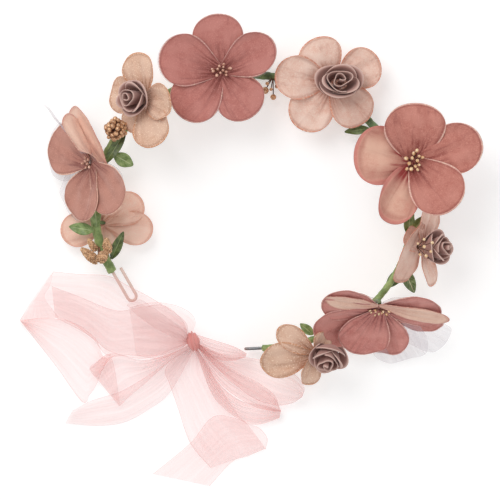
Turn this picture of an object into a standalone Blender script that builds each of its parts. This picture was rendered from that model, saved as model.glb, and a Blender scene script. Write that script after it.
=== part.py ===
"""Flower crown: a wire hoop with fabric flowers, foam roses, berries and leaves, closed by a ribbon bow."""

from math import atan2, ceil, cos, degrees, pi, radians, sin

import bmesh
import bpy
from mathutils import Matrix, Vector

MM = 0.001  # every size below is in millimetres, every angle in degrees
GAP = 0.3  # clearance between two pieces that touch

# Hoop: an open oval that waves up and down, lying on the table with the bow at the front.
HOOP_LENGTH = 183.4
HOOP_WIDTH = 158.2
HOOP_TURN = -5.1  # of the long axis, from +X
HOOP_WAVE = 8.5  # rise of the wave above and below its middle
HOOP_PEAK = 160.0  # direction of one of the two high sides
LEFT_END = 211.5  # where the tape stops, as an angle round the oval
RIGHT_END = -82.0
WIRE_RADIUS = 0.9
LEFT_LOOP_REACH = 19.0
RIGHT_LOOP_REACH = 7.0
LOOP_TURN_RADIUS = 2.6
LOOP_RETURN = 0.5  # where the returning strand has one more point, as a share of the reach
HOOP_STEP = 5.0

# Floral tape: (node, from angle, to angle, outer radius)
TAPES = [
    ("tape_left", LEFT_END, 122.0, 2.6),
    ("tape_top", 120.5, 29.5, 2.2),
    ("tape_right", 28.0, RIGHT_END, 1.8),
]
LOWEST_TAPE_RADIUS = 2.2  # of the stretch that touches the table

STEM_RADIUS = 1.1
STEM_BEND = 0.45  # how far before the flower the stem has straightened, as a share of its length
PETAL_WALL = 0.7
PETAL_HOLE = 2.6  # radius of the hole the stamens and the stem meet in
PETAL_NOTCH = 0.58  # depth of the outline between two petals, as a share of the petal
PETAL_COLUMNS = 6
BACKING_DROP = 1.5  # distance from the sheer layer up to the petals
BACKING_GROWTH = 1.04
STAMEN_HEIGHT = 10.0
STAMEN_RADIUS = 6.5
STAMEN_ROOT_RADIUS = 1.6
STAMEN_ROOT_HEIGHT = 1.5
STAMEN_SHOULDER = 0.72  # height where the tuft is widest, as a share of its height
STAMEN_CROWN = 0.6  # radius of its flat top, as a share of its radius
STAMEN_DOMING = 0.8
ROSE_RADIUS = 10.5
ROSE_FLATNESS = 0.86
LEAF_WALL = 0.5
LEAF_TIP_WIDTH = 0.12  # as a share of the width
LEAF_FOLD = 0.25  # rise of the halves from the midrib, per millimetre across
STALK_RADIUS = 0.6
HUB_RADIUS = 1.2

# Large flowers. "at" is the angle round the hoop; "out" and "up" go from the wire to the
# flower's base; it leans by "lean" towards the direction "to"; petals are (turn, length).
LARGE_FLOWERS = {
    "flower_top": dict(at=105.8, out=2.9, up=13, lean=6, to=100, rise=12,
                       petals=[(90, 34), (20, 37), (-60, 34), (-128, 36), (169, 37)]),
    "flower_right": dict(at=25.0, out=7.2, up=14, lean=8, to=20, rise=16,
                         petals=[(92, 37), (14, 41), (-58, 37), (-122, 35), (178, 36)]),
    "flower_front": dict(at=-34.8, out=3.0, up=13, lean=54, to=-94, rise=16,
                         petals=[(-94, 36), (-35, 37), (16, 36), (156, 36), (208, 37)]),
    "flower_left": dict(at=167.0, out=5.0, up=12, lean=48, to=180, rise=16,
                        petals=[(178, 37), (118, 38), (66, 30), (-53, 36), (-124, 36)]),
}

# Small flowers; those with a rose carry it in their middle.
SMALL_FLOWERS = {
    "blossom_top": dict(at=65.2, out=8.0, up=7, lean=10, to=0, rise=10, rose=True,
                        petals=[(100, 25), (30, 27), (-45, 28), (-115, 29), (178, 30)]),
    "blossom_left": dict(at=134.8, out=4.6, up=12, lean=36, to=180, rise=10, rose=True,
                         petals=[(100, 24), (172, 26), (-112, 25), (-44, 26), (28, 20)]),
    "blossom_back": dict(at=-169.0, out=-5.0, up=-9.5, lean=4, to=-90, rise=4, rose=False,
                         petals=[(28, 25), (-18, 29), (-75, 18), (-165, 27), (120, 14)]),
    "blossom_right": dict(at=-8.0, out=7.5, up=5, lean=62, to=0, rise=10, rose=True,
                          petals=[(20, 25), (-52, 24), (-124, 30), (162, 15), (88, 20)]),
    "blossom_front": dict(at=-64.5, out=8.0, up=9, lean=48, to=-15, rise=10, rose=True,
                          petals=[(-15, 12), (-95, 18), (188, 24), (140, 19), (62, 12)]),
}

# Sprays: buds are (out, along, up, radius, length) from the root; "along" follows the hoop.
SPRAYS = {
    "berry_cluster_left": dict(at=152.0, root_out=1.0, root_up=0.8,
                               buds=[(6.2, -2.0, 4.5, 6.6, 13.2)]),
    "glitter_buds_left": dict(at=-155.0, root_out=1.0, root_up=0.2,
                              buds=[(11.0, -7.5, 0.5, 3.0, 16.0), (5.0, -13.0, 2.5, 2.0, 9.0),
                                    (-3.5, -10.0, 8.0, 2.5, 9.0)]),
    "berry_twig_top": dict(at=86.2, root_out=-1.0, root_up=0.4,
                           buds=[(-7.5, -2.0, 2.0, 2.6, 5.2), (-4.5, 5.0, 4.0, 2.2, 4.4)]),
    "bead_twig_front": dict(at=-72.5, root_out=1.0, root_up=-0.1,
                            buds=[(10.5, -3.5, -2.0, 2.3, 4.6), (12.0, 2.0, 1.0, 2.3, 4.6),
                                  (7.5, 3.5, 4.0, 2.0, 4.0)]),
}

# Beads over the rose of the right blossom, from a hub on the uphill side of its petals.
BEAD_FLOWER = "blossom_right"
# Their places are shares of the rose's radius; the last number is the bead's radius.
BEAD_HUB_REACH = 0.857
BEADS = [(0.286, -0.429, 0.905, 1.6), (0.343, 0.048, 1.143, 1.6), (0.248, 0.476, 0.952, 1.6)]

# Leaves: each grows from the tape at "at", leaving it at "side" round the wire (0 is outward,
# 90 is up), then points along "heading" and climbs by "pitch".
LEAVES = {
    "leaf_left_inner": dict(at=160.0, side=180, heading=-30, pitch=-12, length=12, width=10),
    "leaf_left_long": dict(at=149.5, side=120, heading=-122, pitch=4, length=20, width=7),
    "leaf_back_tall": dict(at=-168.0, side=100, heading=96, pitch=12, length=17, width=7),
    "leaf_back_outer": dict(at=-166.5, side=60, heading=170, pitch=4, length=13, width=8),
    "leaf_back_inner": dict(at=-153.0, side=150, heading=66, pitch=18, length=16, width=6),
    "leaf_top": dict(at=45.0, side=160, heading=188, pitch=8, length=13, width=6),
    "leaf_right_tall": dict(at=-4.0, side=110, heading=84, pitch=4, length=13, width=8),
    "leaf_right_low": dict(at=-17.5, side=-30, heading=-66, pitch=-22, length=16, width=8),
    "leaf_front": dict(at=-62.5, side=170, heading=140, pitch=6, length=9, width=6),
}

# Bow: flat stretches of ribbon fanned round the knot, each on its own level.
# Points are (x, y) from the knot.
KNOT_ALONG = 0.575  # share of the way from the left wire loop to the right one
KNOT_OFFSET = 9.5  # in front of the line between the loops
KNOT_RADIUS = 5.6
KNOT_HEIGHT = 12.0
RIBBON_LAYER = 1.6
LEVEL_STEP = 2.2
ROOT_WIDTH = 5.0
BAND_WIDTH = 12.0
BAND_START = 4.2  # from the end of a wire loop, clear of its turn
KNOT_WAIST = 0.7  # radius of the knot's top, as a share of its radius
KNOT_FOOT = 0.8
RIBBON_PIECES = {
    "bow_loop_left_lower": dict(level=0, root=172, points=[
        (-81.8, 30.7), (-100.3, 14.5), (-65.0, -34.8), (-55.7, -20.3), (-45.2, -8.1)]),
    "bow_loop_left_upper": dict(level=2, root=166, points=[
        (-51.6, 24.0), (-56.8, 38.0), (-80.6, 41.2), (-93.4, 15.1), (-72.5, 12.2),
        (-52.2, -1.2), (-24.9, -8.4)]),
    "bow_loop_top": dict(level=4, root=100, points=[(2.3, 14.5), (-7.5, 20.5), (-24.0, 20.5), (-24.0, 15.0)]),
    "bow_loop_right_outer": dict(level=0, root=-22, points=[
        (16.0, -21.0), (30.2, -33.5), (47.6, -36.5), (60.9, -34.2), (64.4, -29.0),
        (60.3, -21.5), (50.5, -13.9), (36.0, -8.7)]),
    "bow_loop_right_inner": dict(level=3, root=-55, points=[
        (15.7, -33.0), (33.0, -48.1), (44.7, -47.0), (51.0, -43.5), (51.0, -37.7),
        (40.0, -30.2), (18.6, -16.8)]),
    "ribbon_tail_left": dict(level=1, root=-120, points=[
        (-16.2, -20.3), (-51.0, -30.7), (-70.2, -40.0), (-74.8, -47.6), (-62.6, -49.3),
        (-42.3, -47.6), (-24.9, -37.7), (-12.2, -26.1)]),
    "ribbon_tail_short": dict(level=3, root=-150, points=[
        (-48.1, -8.1), (-60.9, -16.8), (-42.9, -37.7), (-24.9, -21.5), (-14.5, -9.9)]),
    "ribbon_tail_long": dict(level=0, root=-90, points=[
        (-16.2, -16.8), (-14.5, -27.3), (-7.5, -41.8), (-1.7, -59.2), (-23.2, -77.1),
        (9.3, -83.5), (22.6, -69.6), (41.8, -60.9), (42.3, -55.1), (33.0, -49.3),
        (17.0, -36.0), (6.0, -16.8)]),
}


def clear_scene():
    for obj in list(bpy.data.objects):
        bpy.data.objects.remove(obj, do_unlink=True)


def make_collection(name):
    collection = bpy.data.collections.new(name)
    bpy.context.scene.collection.children.link(collection)
    return collection


def make_material(name, color, roughness, metallic=0.0):
    material = bpy.data.materials.new(name)
    material.use_nodes = True
    shader = material.node_tree.nodes["Principled BSDF"]
    shader.inputs["Base Color"].default_value = (*color, 1.0)
    shader.inputs["Roughness"].default_value = roughness
    shader.inputs["Metallic"].default_value = metallic
    return material


def add_object(name, data, material, collection, matrix=None, smooth=True):
    obj = bpy.data.objects.new(name, data)
    if matrix is not None:
        obj.matrix_world = matrix
    data.materials.append(material)
    collection.objects.link(obj)
    if smooth and obj.type == "MESH":
        data.shade_smooth()
    return obj


def solidify(obj, thickness, offset=1.0):
    modifier = obj.modifiers.new("thickness", "SOLIDIFY")
    modifier.thickness = thickness * MM
    modifier.offset = offset
    return modifier


def heading_vector(heading, pitch=0.0):
    a, b = radians(heading), radians(pitch)
    return Vector((cos(a) * cos(b), sin(a) * cos(b), sin(b)))


# ---- hoop ----


def hoop_point(angle):
    """Centre of the wire at this angle round the oval, in millimetres."""
    flat = Vector((HOOP_LENGTH / 2 * cos(radians(angle)), HOOP_WIDTH / 2 * sin(radians(angle)), 0))
    flat.rotate(Matrix.Rotation(radians(HOOP_TURN), 3, "Z"))
    direction = degrees(atan2(flat.y, flat.x))
    flat.z = LOWEST_TAPE_RADIUS + HOOP_WAVE * (1 + cos(2 * radians(direction - HOOP_PEAK)))
    return flat


def hoop_axes(angle):
    """(outward, along, up) at this angle: outward and along are level, along turns counter-clockwise."""
    step = 0.5
    along = hoop_point(angle + step) - hoop_point(angle - step)
    along.z = 0
    along.normalize()
    return Vector((along.y, -along.x, 0)), along, Vector((0, 0, 1))


def tape_radius(angle):
    for _, start, end, radius in TAPES:
        if end <= angle <= start or end <= angle + 360 <= start:
            return radius
    return max(radius for _, _, _, radius in TAPES)


def place(angle, out, up):
    outward, _, upward = hoop_axes(angle)
    return hoop_point(angle) + outward * out + upward * up


def beside_tape(angle, towards, radius):
    """A point just off the tape, on the side nearest to "towards", clear by GAP for a piece of this radius."""
    centre = hoop_point(angle)
    step = 0.5
    along = (hoop_point(angle + step) - hoop_point(angle - step)).normalized()
    side = towards - centre
    side -= along * side.dot(along)
    return centre + side.normalized() * (tape_radius(angle) + GAP + radius)


def hoop_span(start, end):
    count = ceil((start - end) / HOOP_STEP)
    return [hoop_point(start + (end - start) * i / count) for i in range(count + 1)]


def wire_loop(start, direction, turn, reach):
    """Points of an end loop: straight on, round a half turn towards "turn", and back again."""
    centre = start + direction * reach + turn * LOOP_TURN_RADIUS
    points = [start + direction * reach * share for share in (0.33, 0.67)]
    for i in range(7):
        a = pi * i / 6
        points.append(centre - turn * LOOP_TURN_RADIUS * cos(a) + direction * LOOP_TURN_RADIUS * sin(a))
    back = start + turn * 2 * LOOP_TURN_RADIUS
    points.append(back + direction * reach * LOOP_RETURN)
    points.append(back + direction * (WIRE_RADIUS + GAP))
    return points, centre


def loop_ends():
    """Each end loop's points, running away from the hoop, and the centre of its turn."""
    left = hoop_point(LEFT_END)
    left_way = (left - hoop_point(LEFT_END - 1)).normalized()
    right = hoop_point(RIGHT_END)
    right_way = (right - hoop_point(RIGHT_END + 1)).normalized()
    sideways = Vector((left_way.y, -left_way.x, 0)).normalized()
    upward = Vector((0, 0, 1)) - right_way * right_way.z
    return (wire_loop(left, left_way, -sideways, LEFT_LOOP_REACH),
            wire_loop(right, right_way, upward.normalized(), RIGHT_LOOP_REACH))


def tube(name, points, radius, material, collection, caps=True):
    """A round tube through these points, in millimetres."""
    curve = bpy.data.curves.new(name, "CURVE")
    curve.dimensions = "3D"
    curve.bevel_depth = radius * MM
    curve.bevel_resolution = 2
    curve.use_fill_caps = caps
    spline = curve.splines.new("POLY")
    spline.points.add(len(points) - 1)
    for point, place_mm in zip(spline.points, points):
        point.co = (*(place_mm * MM), 1.0)
    return add_object(name, curve, material, collection)


def build_hoop(materials, parts):
    (left_points, _), (right_points, _) = loop_ends()
    route = left_points[::-1] + hoop_span(LEFT_END, RIGHT_END) + right_points
    tube("hoop_wire", route, WIRE_RADIUS, materials["wire"], parts)
    for name, start, end, radius in TAPES:
        sleeve = tube(name, hoop_span(start, end), radius, materials["tape"], parts, caps=False)
        solidify(sleeve, radius - WIRE_RADIUS - GAP, offset=-1.0)


# ---- flowers ----


def lean_matrix(base, lean, to):
    """Placed at "base" in millimetres, leaning towards the direction "to" without turning about its own axis."""
    axis = Vector((-sin(radians(to)), cos(radians(to)), 0))
    return Matrix.Translation(base * MM) @ Matrix.Rotation(radians(lean), 4, axis)


def petal_outline(petals, share):
    """(direction, length) of the outline at this share of the way round, counter-clockwise."""
    ordered = sorted((turn % 360, length) for turn, length in petals)
    count = len(ordered)
    index = min(int(share * count), count - 1)
    local = share * count - index  # 0 and 1 are the notches beside petal "index"
    turn, length = ordered[index]
    before, before_length = ordered[index - 1]
    after, after_length = ordered[(index + 1) % count]
    low = turn - ((turn - before) % 360) / 2
    high = turn + ((after - turn) % 360) / 2
    if local < 0.5:
        direction = low + (turn - low) * local * 2
        notch = (length + before_length) / 2
    else:
        direction = turn + (high - turn) * (local - 0.5) * 2
        notch = (length + after_length) / 2
    bulge = sin(pi * local) ** 0.6
    return direction, notch * PETAL_NOTCH * (1 - bulge) + length * bulge


def petal_disc(name, petals, rise, growth, drop, matrix, material, collection):
    """A shallow five-petal dish with a hole in its middle, cut from one sheet."""
    bm = bmesh.new()
    bmesh.ops.create_grid(bm, x_segments=PETAL_COLUMNS * len(petals), y_segments=2, size=0.5)
    for vert in bm.verts:
        direction, length = petal_outline(petals, 0.5 - vert.co.x)
        distance = PETAL_HOLE + (length * growth - PETAL_HOLE) * (vert.co.y + 0.5)
        height = distance * sin(radians(rise)) - drop
        vert.co = heading_vector(direction) * distance * cos(radians(rise)) * MM
        vert.co.z = height * MM
    bmesh.ops.remove_doubles(bm, verts=bm.verts, dist=0.01 * MM)
    mesh = bpy.data.meshes.new(name)
    bm.to_mesh(mesh)
    bm.free()
    solidify(add_object(name, mesh, material, collection, matrix), PETAL_WALL)


def turned(name, profile, matrix, material, collection, steps=12):
    """Turned about its own Z: the profile is (radius, height) from the top down its outer side."""
    mesh = bpy.data.meshes.new(name)
    points = [(radius * MM, 0, height * MM) for radius, height in profile]
    mesh.from_pydata(points, [(i, i + 1) for i in range(len(points) - 1)], [])
    obj = add_object(name, mesh, material, collection, matrix)
    screw = obj.modifiers.new("turn", "SCREW")
    screw.steps = steps
    screw.render_steps = steps
    screw.use_merge_vertices = True
    screw.merge_threshold = 0.01 * MM
    return obj


def build_stem(name, angle, base, facing, material, collection):
    """A taped wire stem that leaves the hoop and bends to meet the flower square on."""
    root = beside_tape(angle, base, STEM_RADIUS)
    below = 1 if (base - root).dot(facing) > 0 else -1  # a flower under the tape hangs from its stem
    top = base - facing * GAP * below
    bend = top - facing * (top - root).length * STEM_BEND * below
    points = []
    for i in range(6):
        t = i / 5
        points.append(root * (1 - t) ** 2 + bend * 2 * t * (1 - t) + top * t * t)
    tube(name, points, STEM_RADIUS, material, collection)


def build_large_flower(name, at, out, up, lean, to, rise, petals, materials, parts):
    base = place(at, out, up)
    matrix = lean_matrix(base, lean, to)
    facing = (matrix.to_3x3() @ Vector((0, 0, 1))).normalized()
    petal_disc(name + "_petals", petals, rise, 1.0, 0.0, matrix, materials["rose_cloth"], parts)
    petal_disc(name + "_backing", petals, rise, BACKING_GROWTH, BACKING_DROP, matrix,
               materials["organza"], parts)
    tuft = [(0, STAMEN_HEIGHT), (STAMEN_RADIUS * STAMEN_CROWN, STAMEN_HEIGHT - STAMEN_DOMING),
            (STAMEN_RADIUS, STAMEN_HEIGHT * STAMEN_SHOULDER), (STAMEN_ROOT_RADIUS, STAMEN_ROOT_HEIGHT),
            (STAMEN_ROOT_RADIUS, 0), (0, 0)]
    turned(name + "_stamens", tuft, matrix, materials["stamen"], parts)
    build_stem(name + "_stem", at, base, facing, materials["tape"], parts)


def build_small_flower(name, at, out, up, lean, to, rise, rose, petals, materials, parts):
    base = place(at, out, up)
    matrix = lean_matrix(base, lean, to)
    facing = (matrix.to_3x3() @ Vector((0, 0, 1))).normalized()
    petal_disc(name + "_petals", petals, rise, 1.0, 0.0, matrix, materials["peach_cloth"], parts)
    build_stem(name + "_stem", at, base, facing, materials["tape"], parts)
    if not rose:
        return
    centre = (ROSE_RADIUS + PETAL_WALL + GAP) / cos(radians(rise))
    mesh = bpy.data.meshes.new(name + "_rose")
    bm = bmesh.new()
    bmesh.ops.create_uvsphere(bm, u_segments=12, v_segments=7, radius=ROSE_RADIUS * MM)
    bmesh.ops.scale(bm, verts=bm.verts, vec=(1, 1, ROSE_FLATNESS))
    bmesh.ops.translate(bm, verts=bm.verts, vec=(0, 0, centre * MM))
    bm.to_mesh(mesh)
    bm.free()
    add_object(name + "_rose", mesh, materials["foam"], parts, matrix)


# ---- sprays and leaves ----


def build_spray(name, at, root_out, root_up, buds, materials, parts, cutters):
    """A spray whose hub lies beside the tape."""
    axes = hoop_axes(at)
    aim = hoop_point(at) + axes[0] * root_out + axes[2] * root_up
    spray_solid(name, beside_tape(at, aim, HUB_RADIUS), axes, buds, materials, parts, cutters)


def build_beads(name, flower, materials, parts, cutters):
    """Beads on stalks that start between a flower's petals and its rose."""
    matrix = lean_matrix(place(flower["at"], flower["out"], flower["up"]), flower["lean"], flower["to"])
    reach = BEAD_HUB_REACH * ROSE_RADIUS
    hub_height = reach * sin(radians(flower["rise"])) + PETAL_WALL + GAP + HUB_RADIUS
    root = matrix @ (Vector((-reach, 0, hub_height)) * MM) / MM
    turn = matrix.to_3x3()
    axes = [turn @ Vector(axis) for axis in ((-1, 0, 0), (0, 1, 0), (0, 0, 1))]
    buds = [(*(share * ROSE_RADIUS for share in bead[:3]), bead[3], bead[3] * 2) for bead in BEADS]
    spray_solid(name, root, axes, buds, materials, parts, cutters)


def spray_solid(name, root, axes, buds, materials, parts, cutters):
    """Berries or buds on thin stalks that meet in one hub."""
    outward, along, upward = axes
    stalks = bmesh.new()
    for out, forward, rise, radius, length in buds:
        middle = outward * out + along * forward + upward * rise
        turn = Vector((0, 0, 1)).rotation_difference(middle).to_matrix().to_4x4()
        bmesh.ops.create_cone(stalks, cap_ends=True, segments=6, radius1=STALK_RADIUS * MM,
                              radius2=STALK_RADIUS * MM, depth=middle.length * MM,
                              matrix=Matrix.Translation(middle * MM / 2) @ turn)
        stretch = Matrix.Diagonal((1, 1, length / 2 / radius, 1))
        bmesh.ops.create_uvsphere(stalks, u_segments=8, v_segments=6, radius=radius * MM,
                                  matrix=Matrix.Translation(middle * MM) @ turn @ stretch)
    mesh = bpy.data.meshes.new(name + "_stalks")
    stalks.to_mesh(mesh)
    stalks.free()
    cutter = add_object(name + "_stalks", mesh, materials["gold"], cutters, Matrix.Translation(root * MM))
    cutter.hide_render = True
    cutter.display_type = "WIRE"
    hub = bmesh.new()
    bmesh.ops.create_uvsphere(hub, u_segments=8, v_segments=6, radius=HUB_RADIUS * MM)
    hub_mesh = bpy.data.meshes.new(name)
    hub.to_mesh(hub_mesh)
    hub.free()
    obj = add_object(name, hub_mesh, materials["gold"], parts, Matrix.Translation(root * MM))
    union = obj.modifiers.new("join", "BOOLEAN")
    union.operation = "UNION"
    union.object = cutter
    union.use_self = True


def build_leaf(name, at, side, heading, pitch, length, width, materials, parts):
    """A pointed blade, folded a little along its middle."""
    outward, _, upward = hoop_axes(at)
    aim = hoop_point(at) + outward * cos(radians(side)) + upward * sin(radians(side))
    root = beside_tape(at, aim, LEAF_WALL)
    bm = bmesh.new()
    bmesh.ops.create_grid(bm, x_segments=5, y_segments=2, size=0.5)
    for vert in bm.verts:
        share = vert.co.x + 0.5
        half = width / 2 * (LEAF_TIP_WIDTH + (1 - LEAF_TIP_WIDTH) * max(sin(pi * share), 0) ** 0.8)
        across = vert.co.y * 2 * half
        vert.co = Vector((share * length, across, LEAF_FOLD * abs(across))) * MM
    mesh = bpy.data.meshes.new(name)
    bm.to_mesh(mesh)
    bm.free()
    forward = heading_vector(heading, pitch)
    across = Vector((0, 0, 1)).cross(forward).normalized()
    turn = Matrix((forward, across, forward.cross(across))).transposed().to_4x4()
    leaf = add_object(name, mesh, materials["leaf"], parts, Matrix.Translation(root * MM) @ turn)
    solidify(leaf, LEAF_WALL)


# ---- bow ----


def flat_ribbon(name, outline, bottom, material, collection):
    """A flat stretch of ribbon with this outline, its underside at "bottom"."""
    curve = bpy.data.curves.new(name, "CURVE")
    curve.dimensions = "2D"
    curve.fill_mode = "BOTH"
    curve.extrude = RIBBON_LAYER / 2 * MM
    spline = curve.splines.new("POLY")
    spline.use_cyclic_u = True
    spline.points.add(len(outline) - 1)
    for point, corner in zip(spline.points, outline):
        point.co = (corner.x * MM, corner.y * MM, 0, 1)
    height = Matrix.Translation((0, 0, (bottom + RIBBON_LAYER / 2) * MM))
    add_object(name, curve, material, collection, height)


def root_edge(knot, heading):
    """The two corners of a ribbon where it meets the knot, in counter-clockwise order about the knot."""
    way = heading_vector(heading)
    across = Vector((-way.y, way.x, 0))
    middle = knot + way * (KNOT_RADIUS + GAP)
    return middle - across * ROOT_WIDTH / 2, middle + across * ROOT_WIDTH / 2


def build_band(name, knot, loop_centre, level, materials, parts):
    """The stretch of ribbon from a wire loop to the knot, gathered in at the knot."""
    way = loop_centre - knot
    way.z = 0
    across = Vector((-way.y, way.x, 0)).normalized()
    first, second = root_edge(knot, degrees(atan2(way.y, way.x)))
    far = knot + way - way.normalized() * BAND_START
    outline = [first, far - across * BAND_WIDTH / 2, far + across * BAND_WIDTH / 2, second]
    flat_ribbon(name, outline, level * LEVEL_STEP, materials["ribbon"], parts)


def build_bow(materials, parts):
    (_, left), (_, right) = loop_ends()
    line = right - left
    line.z = 0
    forward = Vector((line.y, -line.x, 0)).normalized()
    knot = left + line * KNOT_ALONG + forward * KNOT_OFFSET
    knot.z = 0
    profile = [(0, KNOT_HEIGHT), (KNOT_RADIUS * KNOT_WAIST, KNOT_HEIGHT * 0.93),
               (KNOT_RADIUS, KNOT_HEIGHT * 0.7), (KNOT_RADIUS, KNOT_HEIGHT * 0.3),
               (KNOT_RADIUS * KNOT_FOOT, 0), (0, 0)]
    turned("bow_knot", profile, Matrix.Translation(knot * MM), materials["ribbon"], parts, steps=16)
    build_band("ribbon_band_left", knot, left, 3, materials, parts)
    build_band("ribbon_band_right", knot, right, 2, materials, parts)
    for name, piece in RIBBON_PIECES.items():
        first, second = root_edge(knot, piece["root"])
        points = [knot + Vector((x, y, 0)) for x, y in piece["points"]]
        flat_ribbon(name, [second, first] + points, piece["level"] * LEVEL_STEP, materials["ribbon"], parts)


def main():
    clear_scene()
    parts = make_collection("flower_crown")
    cutters = make_collection("cutters")
    materials = {
        "wire": make_material("wire", (0.62, 0.52, 0.48), 0.5, 0.3),
        "tape": make_material("tape", (0.10, 0.22, 0.06), 0.7),
        "rose_cloth": make_material("rose_cloth", (0.50, 0.19, 0.16), 0.8),
        "organza": make_material("organza", (0.90, 0.82, 0.82), 0.6),
        "stamen": make_material("stamen", (0.45, 0.26, 0.18), 0.5),
        "peach_cloth": make_material("peach_cloth", (0.70, 0.40, 0.30), 0.8),
        "foam": make_material("foam", (0.28, 0.16, 0.15), 0.8),
        "gold": make_material("gold", (0.62, 0.36, 0.16), 0.35, 0.6),
        "leaf": make_material("leaf", (0.12, 0.22, 0.08), 0.6),
        "ribbon": make_material("ribbon", (0.88, 0.66, 0.64), 0.55),
    }
    build_hoop(materials, parts)
    for name, flower in LARGE_FLOWERS.items():
        build_large_flower(name, materials=materials, parts=parts, **flower)
    for name, flower in SMALL_FLOWERS.items():
        build_small_flower(name, materials=materials, parts=parts, **flower)
    for name, spray in SPRAYS.items():
        build_spray(name, materials=materials, parts=parts, cutters=cutters, **spray)
    build_beads("bead_twig_right", SMALL_FLOWERS[BEAD_FLOWER], materials, parts, cutters)
    for name, leaf in LEAVES.items():
        build_leaf(name, materials=materials, parts=parts, **leaf)
    build_bow(materials, parts)


main()
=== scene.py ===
import random
from math import atan2, cos, degrees, exp, pi, radians, sin, sqrt

import bmesh
import bpy
import numpy as np
from mathutils import Matrix, Vector, noise


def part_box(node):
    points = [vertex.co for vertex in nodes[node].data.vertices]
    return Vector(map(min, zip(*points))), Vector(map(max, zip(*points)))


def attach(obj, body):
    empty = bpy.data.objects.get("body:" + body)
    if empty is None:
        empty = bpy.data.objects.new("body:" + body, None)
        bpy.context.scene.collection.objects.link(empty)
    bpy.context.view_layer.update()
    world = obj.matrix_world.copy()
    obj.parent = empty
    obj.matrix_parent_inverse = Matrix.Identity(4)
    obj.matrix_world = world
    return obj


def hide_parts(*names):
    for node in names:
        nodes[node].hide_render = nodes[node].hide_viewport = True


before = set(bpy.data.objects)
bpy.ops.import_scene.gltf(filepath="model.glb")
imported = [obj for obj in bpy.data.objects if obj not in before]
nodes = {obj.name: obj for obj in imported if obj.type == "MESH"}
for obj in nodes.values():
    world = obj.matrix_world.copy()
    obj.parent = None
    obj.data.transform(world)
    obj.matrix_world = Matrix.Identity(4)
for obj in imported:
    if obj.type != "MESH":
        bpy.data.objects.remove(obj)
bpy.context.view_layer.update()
mm = 0.001
goldenTurn = 2.39996  # radians between neighbours that are spread evenly
print("frame loaded:", len(nodes), "nodes")


def paint(red, green, blue):
    # 0-255 display colour to linear.
    def linear(c):
        c /= 255
        return c / 12.92 if c <= 0.04045 else ((c + 0.055) / 1.055) ** 2.4
    return (linear(red), linear(green), linear(blue), 1.0)


def plug(tree, socket, value):
    # Links the socket to another one, or sets its value.
    if isinstance(value, bpy.types.NodeSocket):
        tree.links.new(value, socket)
    else:
        socket.default_value = value


def addNode(tree, kind, settings=None, **inputs):
    # An input is given by its name, or as i0, i1 and so on by its place.
    made = tree.nodes.new(kind)
    for key, value in (settings or {}).items():
        setattr(made, key, value)
    for key, value in inputs.items():
        numbered = key[0] == "i" and key[1:].isdigit()
        plug(tree, made.inputs[int(key[1:]) if numbered else key.replace("_", " ")], value)
    return made


def mixColour(tree, fac, a, b):
    mixer = tree.nodes.new("ShaderNodeMix")
    mixer.data_type = "RGBA"
    for place, value in ((0, fac), (6, a), (7, b)):
        plug(tree, mixer.inputs[place], value)
    return mixer.outputs[2]


def calc(tree, how, a, b=None, clamp=False):
    made = tree.nodes.new("ShaderNodeMath")
    made.operation = how
    made.use_clamp = clamp
    for socket, value in zip(made.inputs, (a, b)):
        if value is not None:
            plug(tree, socket, value)
    return made.outputs[0]


def times(tree, a, b, clamp=False):
    return calc(tree, "MULTIPLY", a, b, clamp)


def plus(tree, a, b, clamp=False):
    return calc(tree, "ADD", a, b, clamp)


def minus(tree, a, b, clamp=False):
    return calc(tree, "SUBTRACT", a, b, clamp)


def ramp(tree, fac, low, high):
    # 0 below low, 1 above high.
    made = addNode(tree, "ShaderNodeMapRange", {"interpolation_type": "SMOOTHSTEP"}, Value=fac)
    made.inputs["From Min"].default_value = low
    made.inputs["From Max"].default_value = high
    return made.outputs[0]


def newGroup(name, inputs, outputs):
    tree = bpy.data.node_groups.new(name, "ShaderNodeTree")
    for label, kind, value in inputs:
        socket = tree.interface.new_socket(label, in_out="INPUT", socket_type=kind)
        if value is not None:
            socket.default_value = value
    for label, kind in outputs:
        tree.interface.new_socket(label, in_out="OUTPUT", socket_type=kind)
    return tree, tree.nodes.new("NodeGroupInput").outputs, tree.nodes.new("NodeGroupOutput").inputs


def useGroup(tree, group, **inputs):
    made = tree.nodes.new("ShaderNodeGroup")
    made.node_tree = group
    for key, value in inputs.items():
        plug(tree, made.inputs[key.replace("_", " ")], value)
    return made.outputs


def newMaterial(name, roughness, **fixed):
    material = bpy.data.materials.new(name)
    material.use_nodes = True
    tree = material.node_tree
    shader = tree.nodes["Principled BSDF"]
    shader.inputs["Roughness"].default_value = roughness
    for key, value in fixed.items():
        shader.inputs[key.replace("_", " ")].default_value = value
    return material, tree, shader


def feed(tree, shader, **sources):
    for key, value in sources.items():
        tree.links.new(value, shader.inputs[key.replace("_", " ")])


def bump(tree, height, strength, distance):
    made = addNode(tree, "ShaderNodeBump", Height=height, Strength=strength, Distance=distance)
    return made.outputs[0]


def objectPoints(tree):
    return tree.nodes.new("ShaderNodeTexCoord").outputs["Object"]


def uvPoints(tree, layer):
    return addNode(tree, "ShaderNodeUVMap", {"uv_map": layer}).outputs[0]


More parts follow.
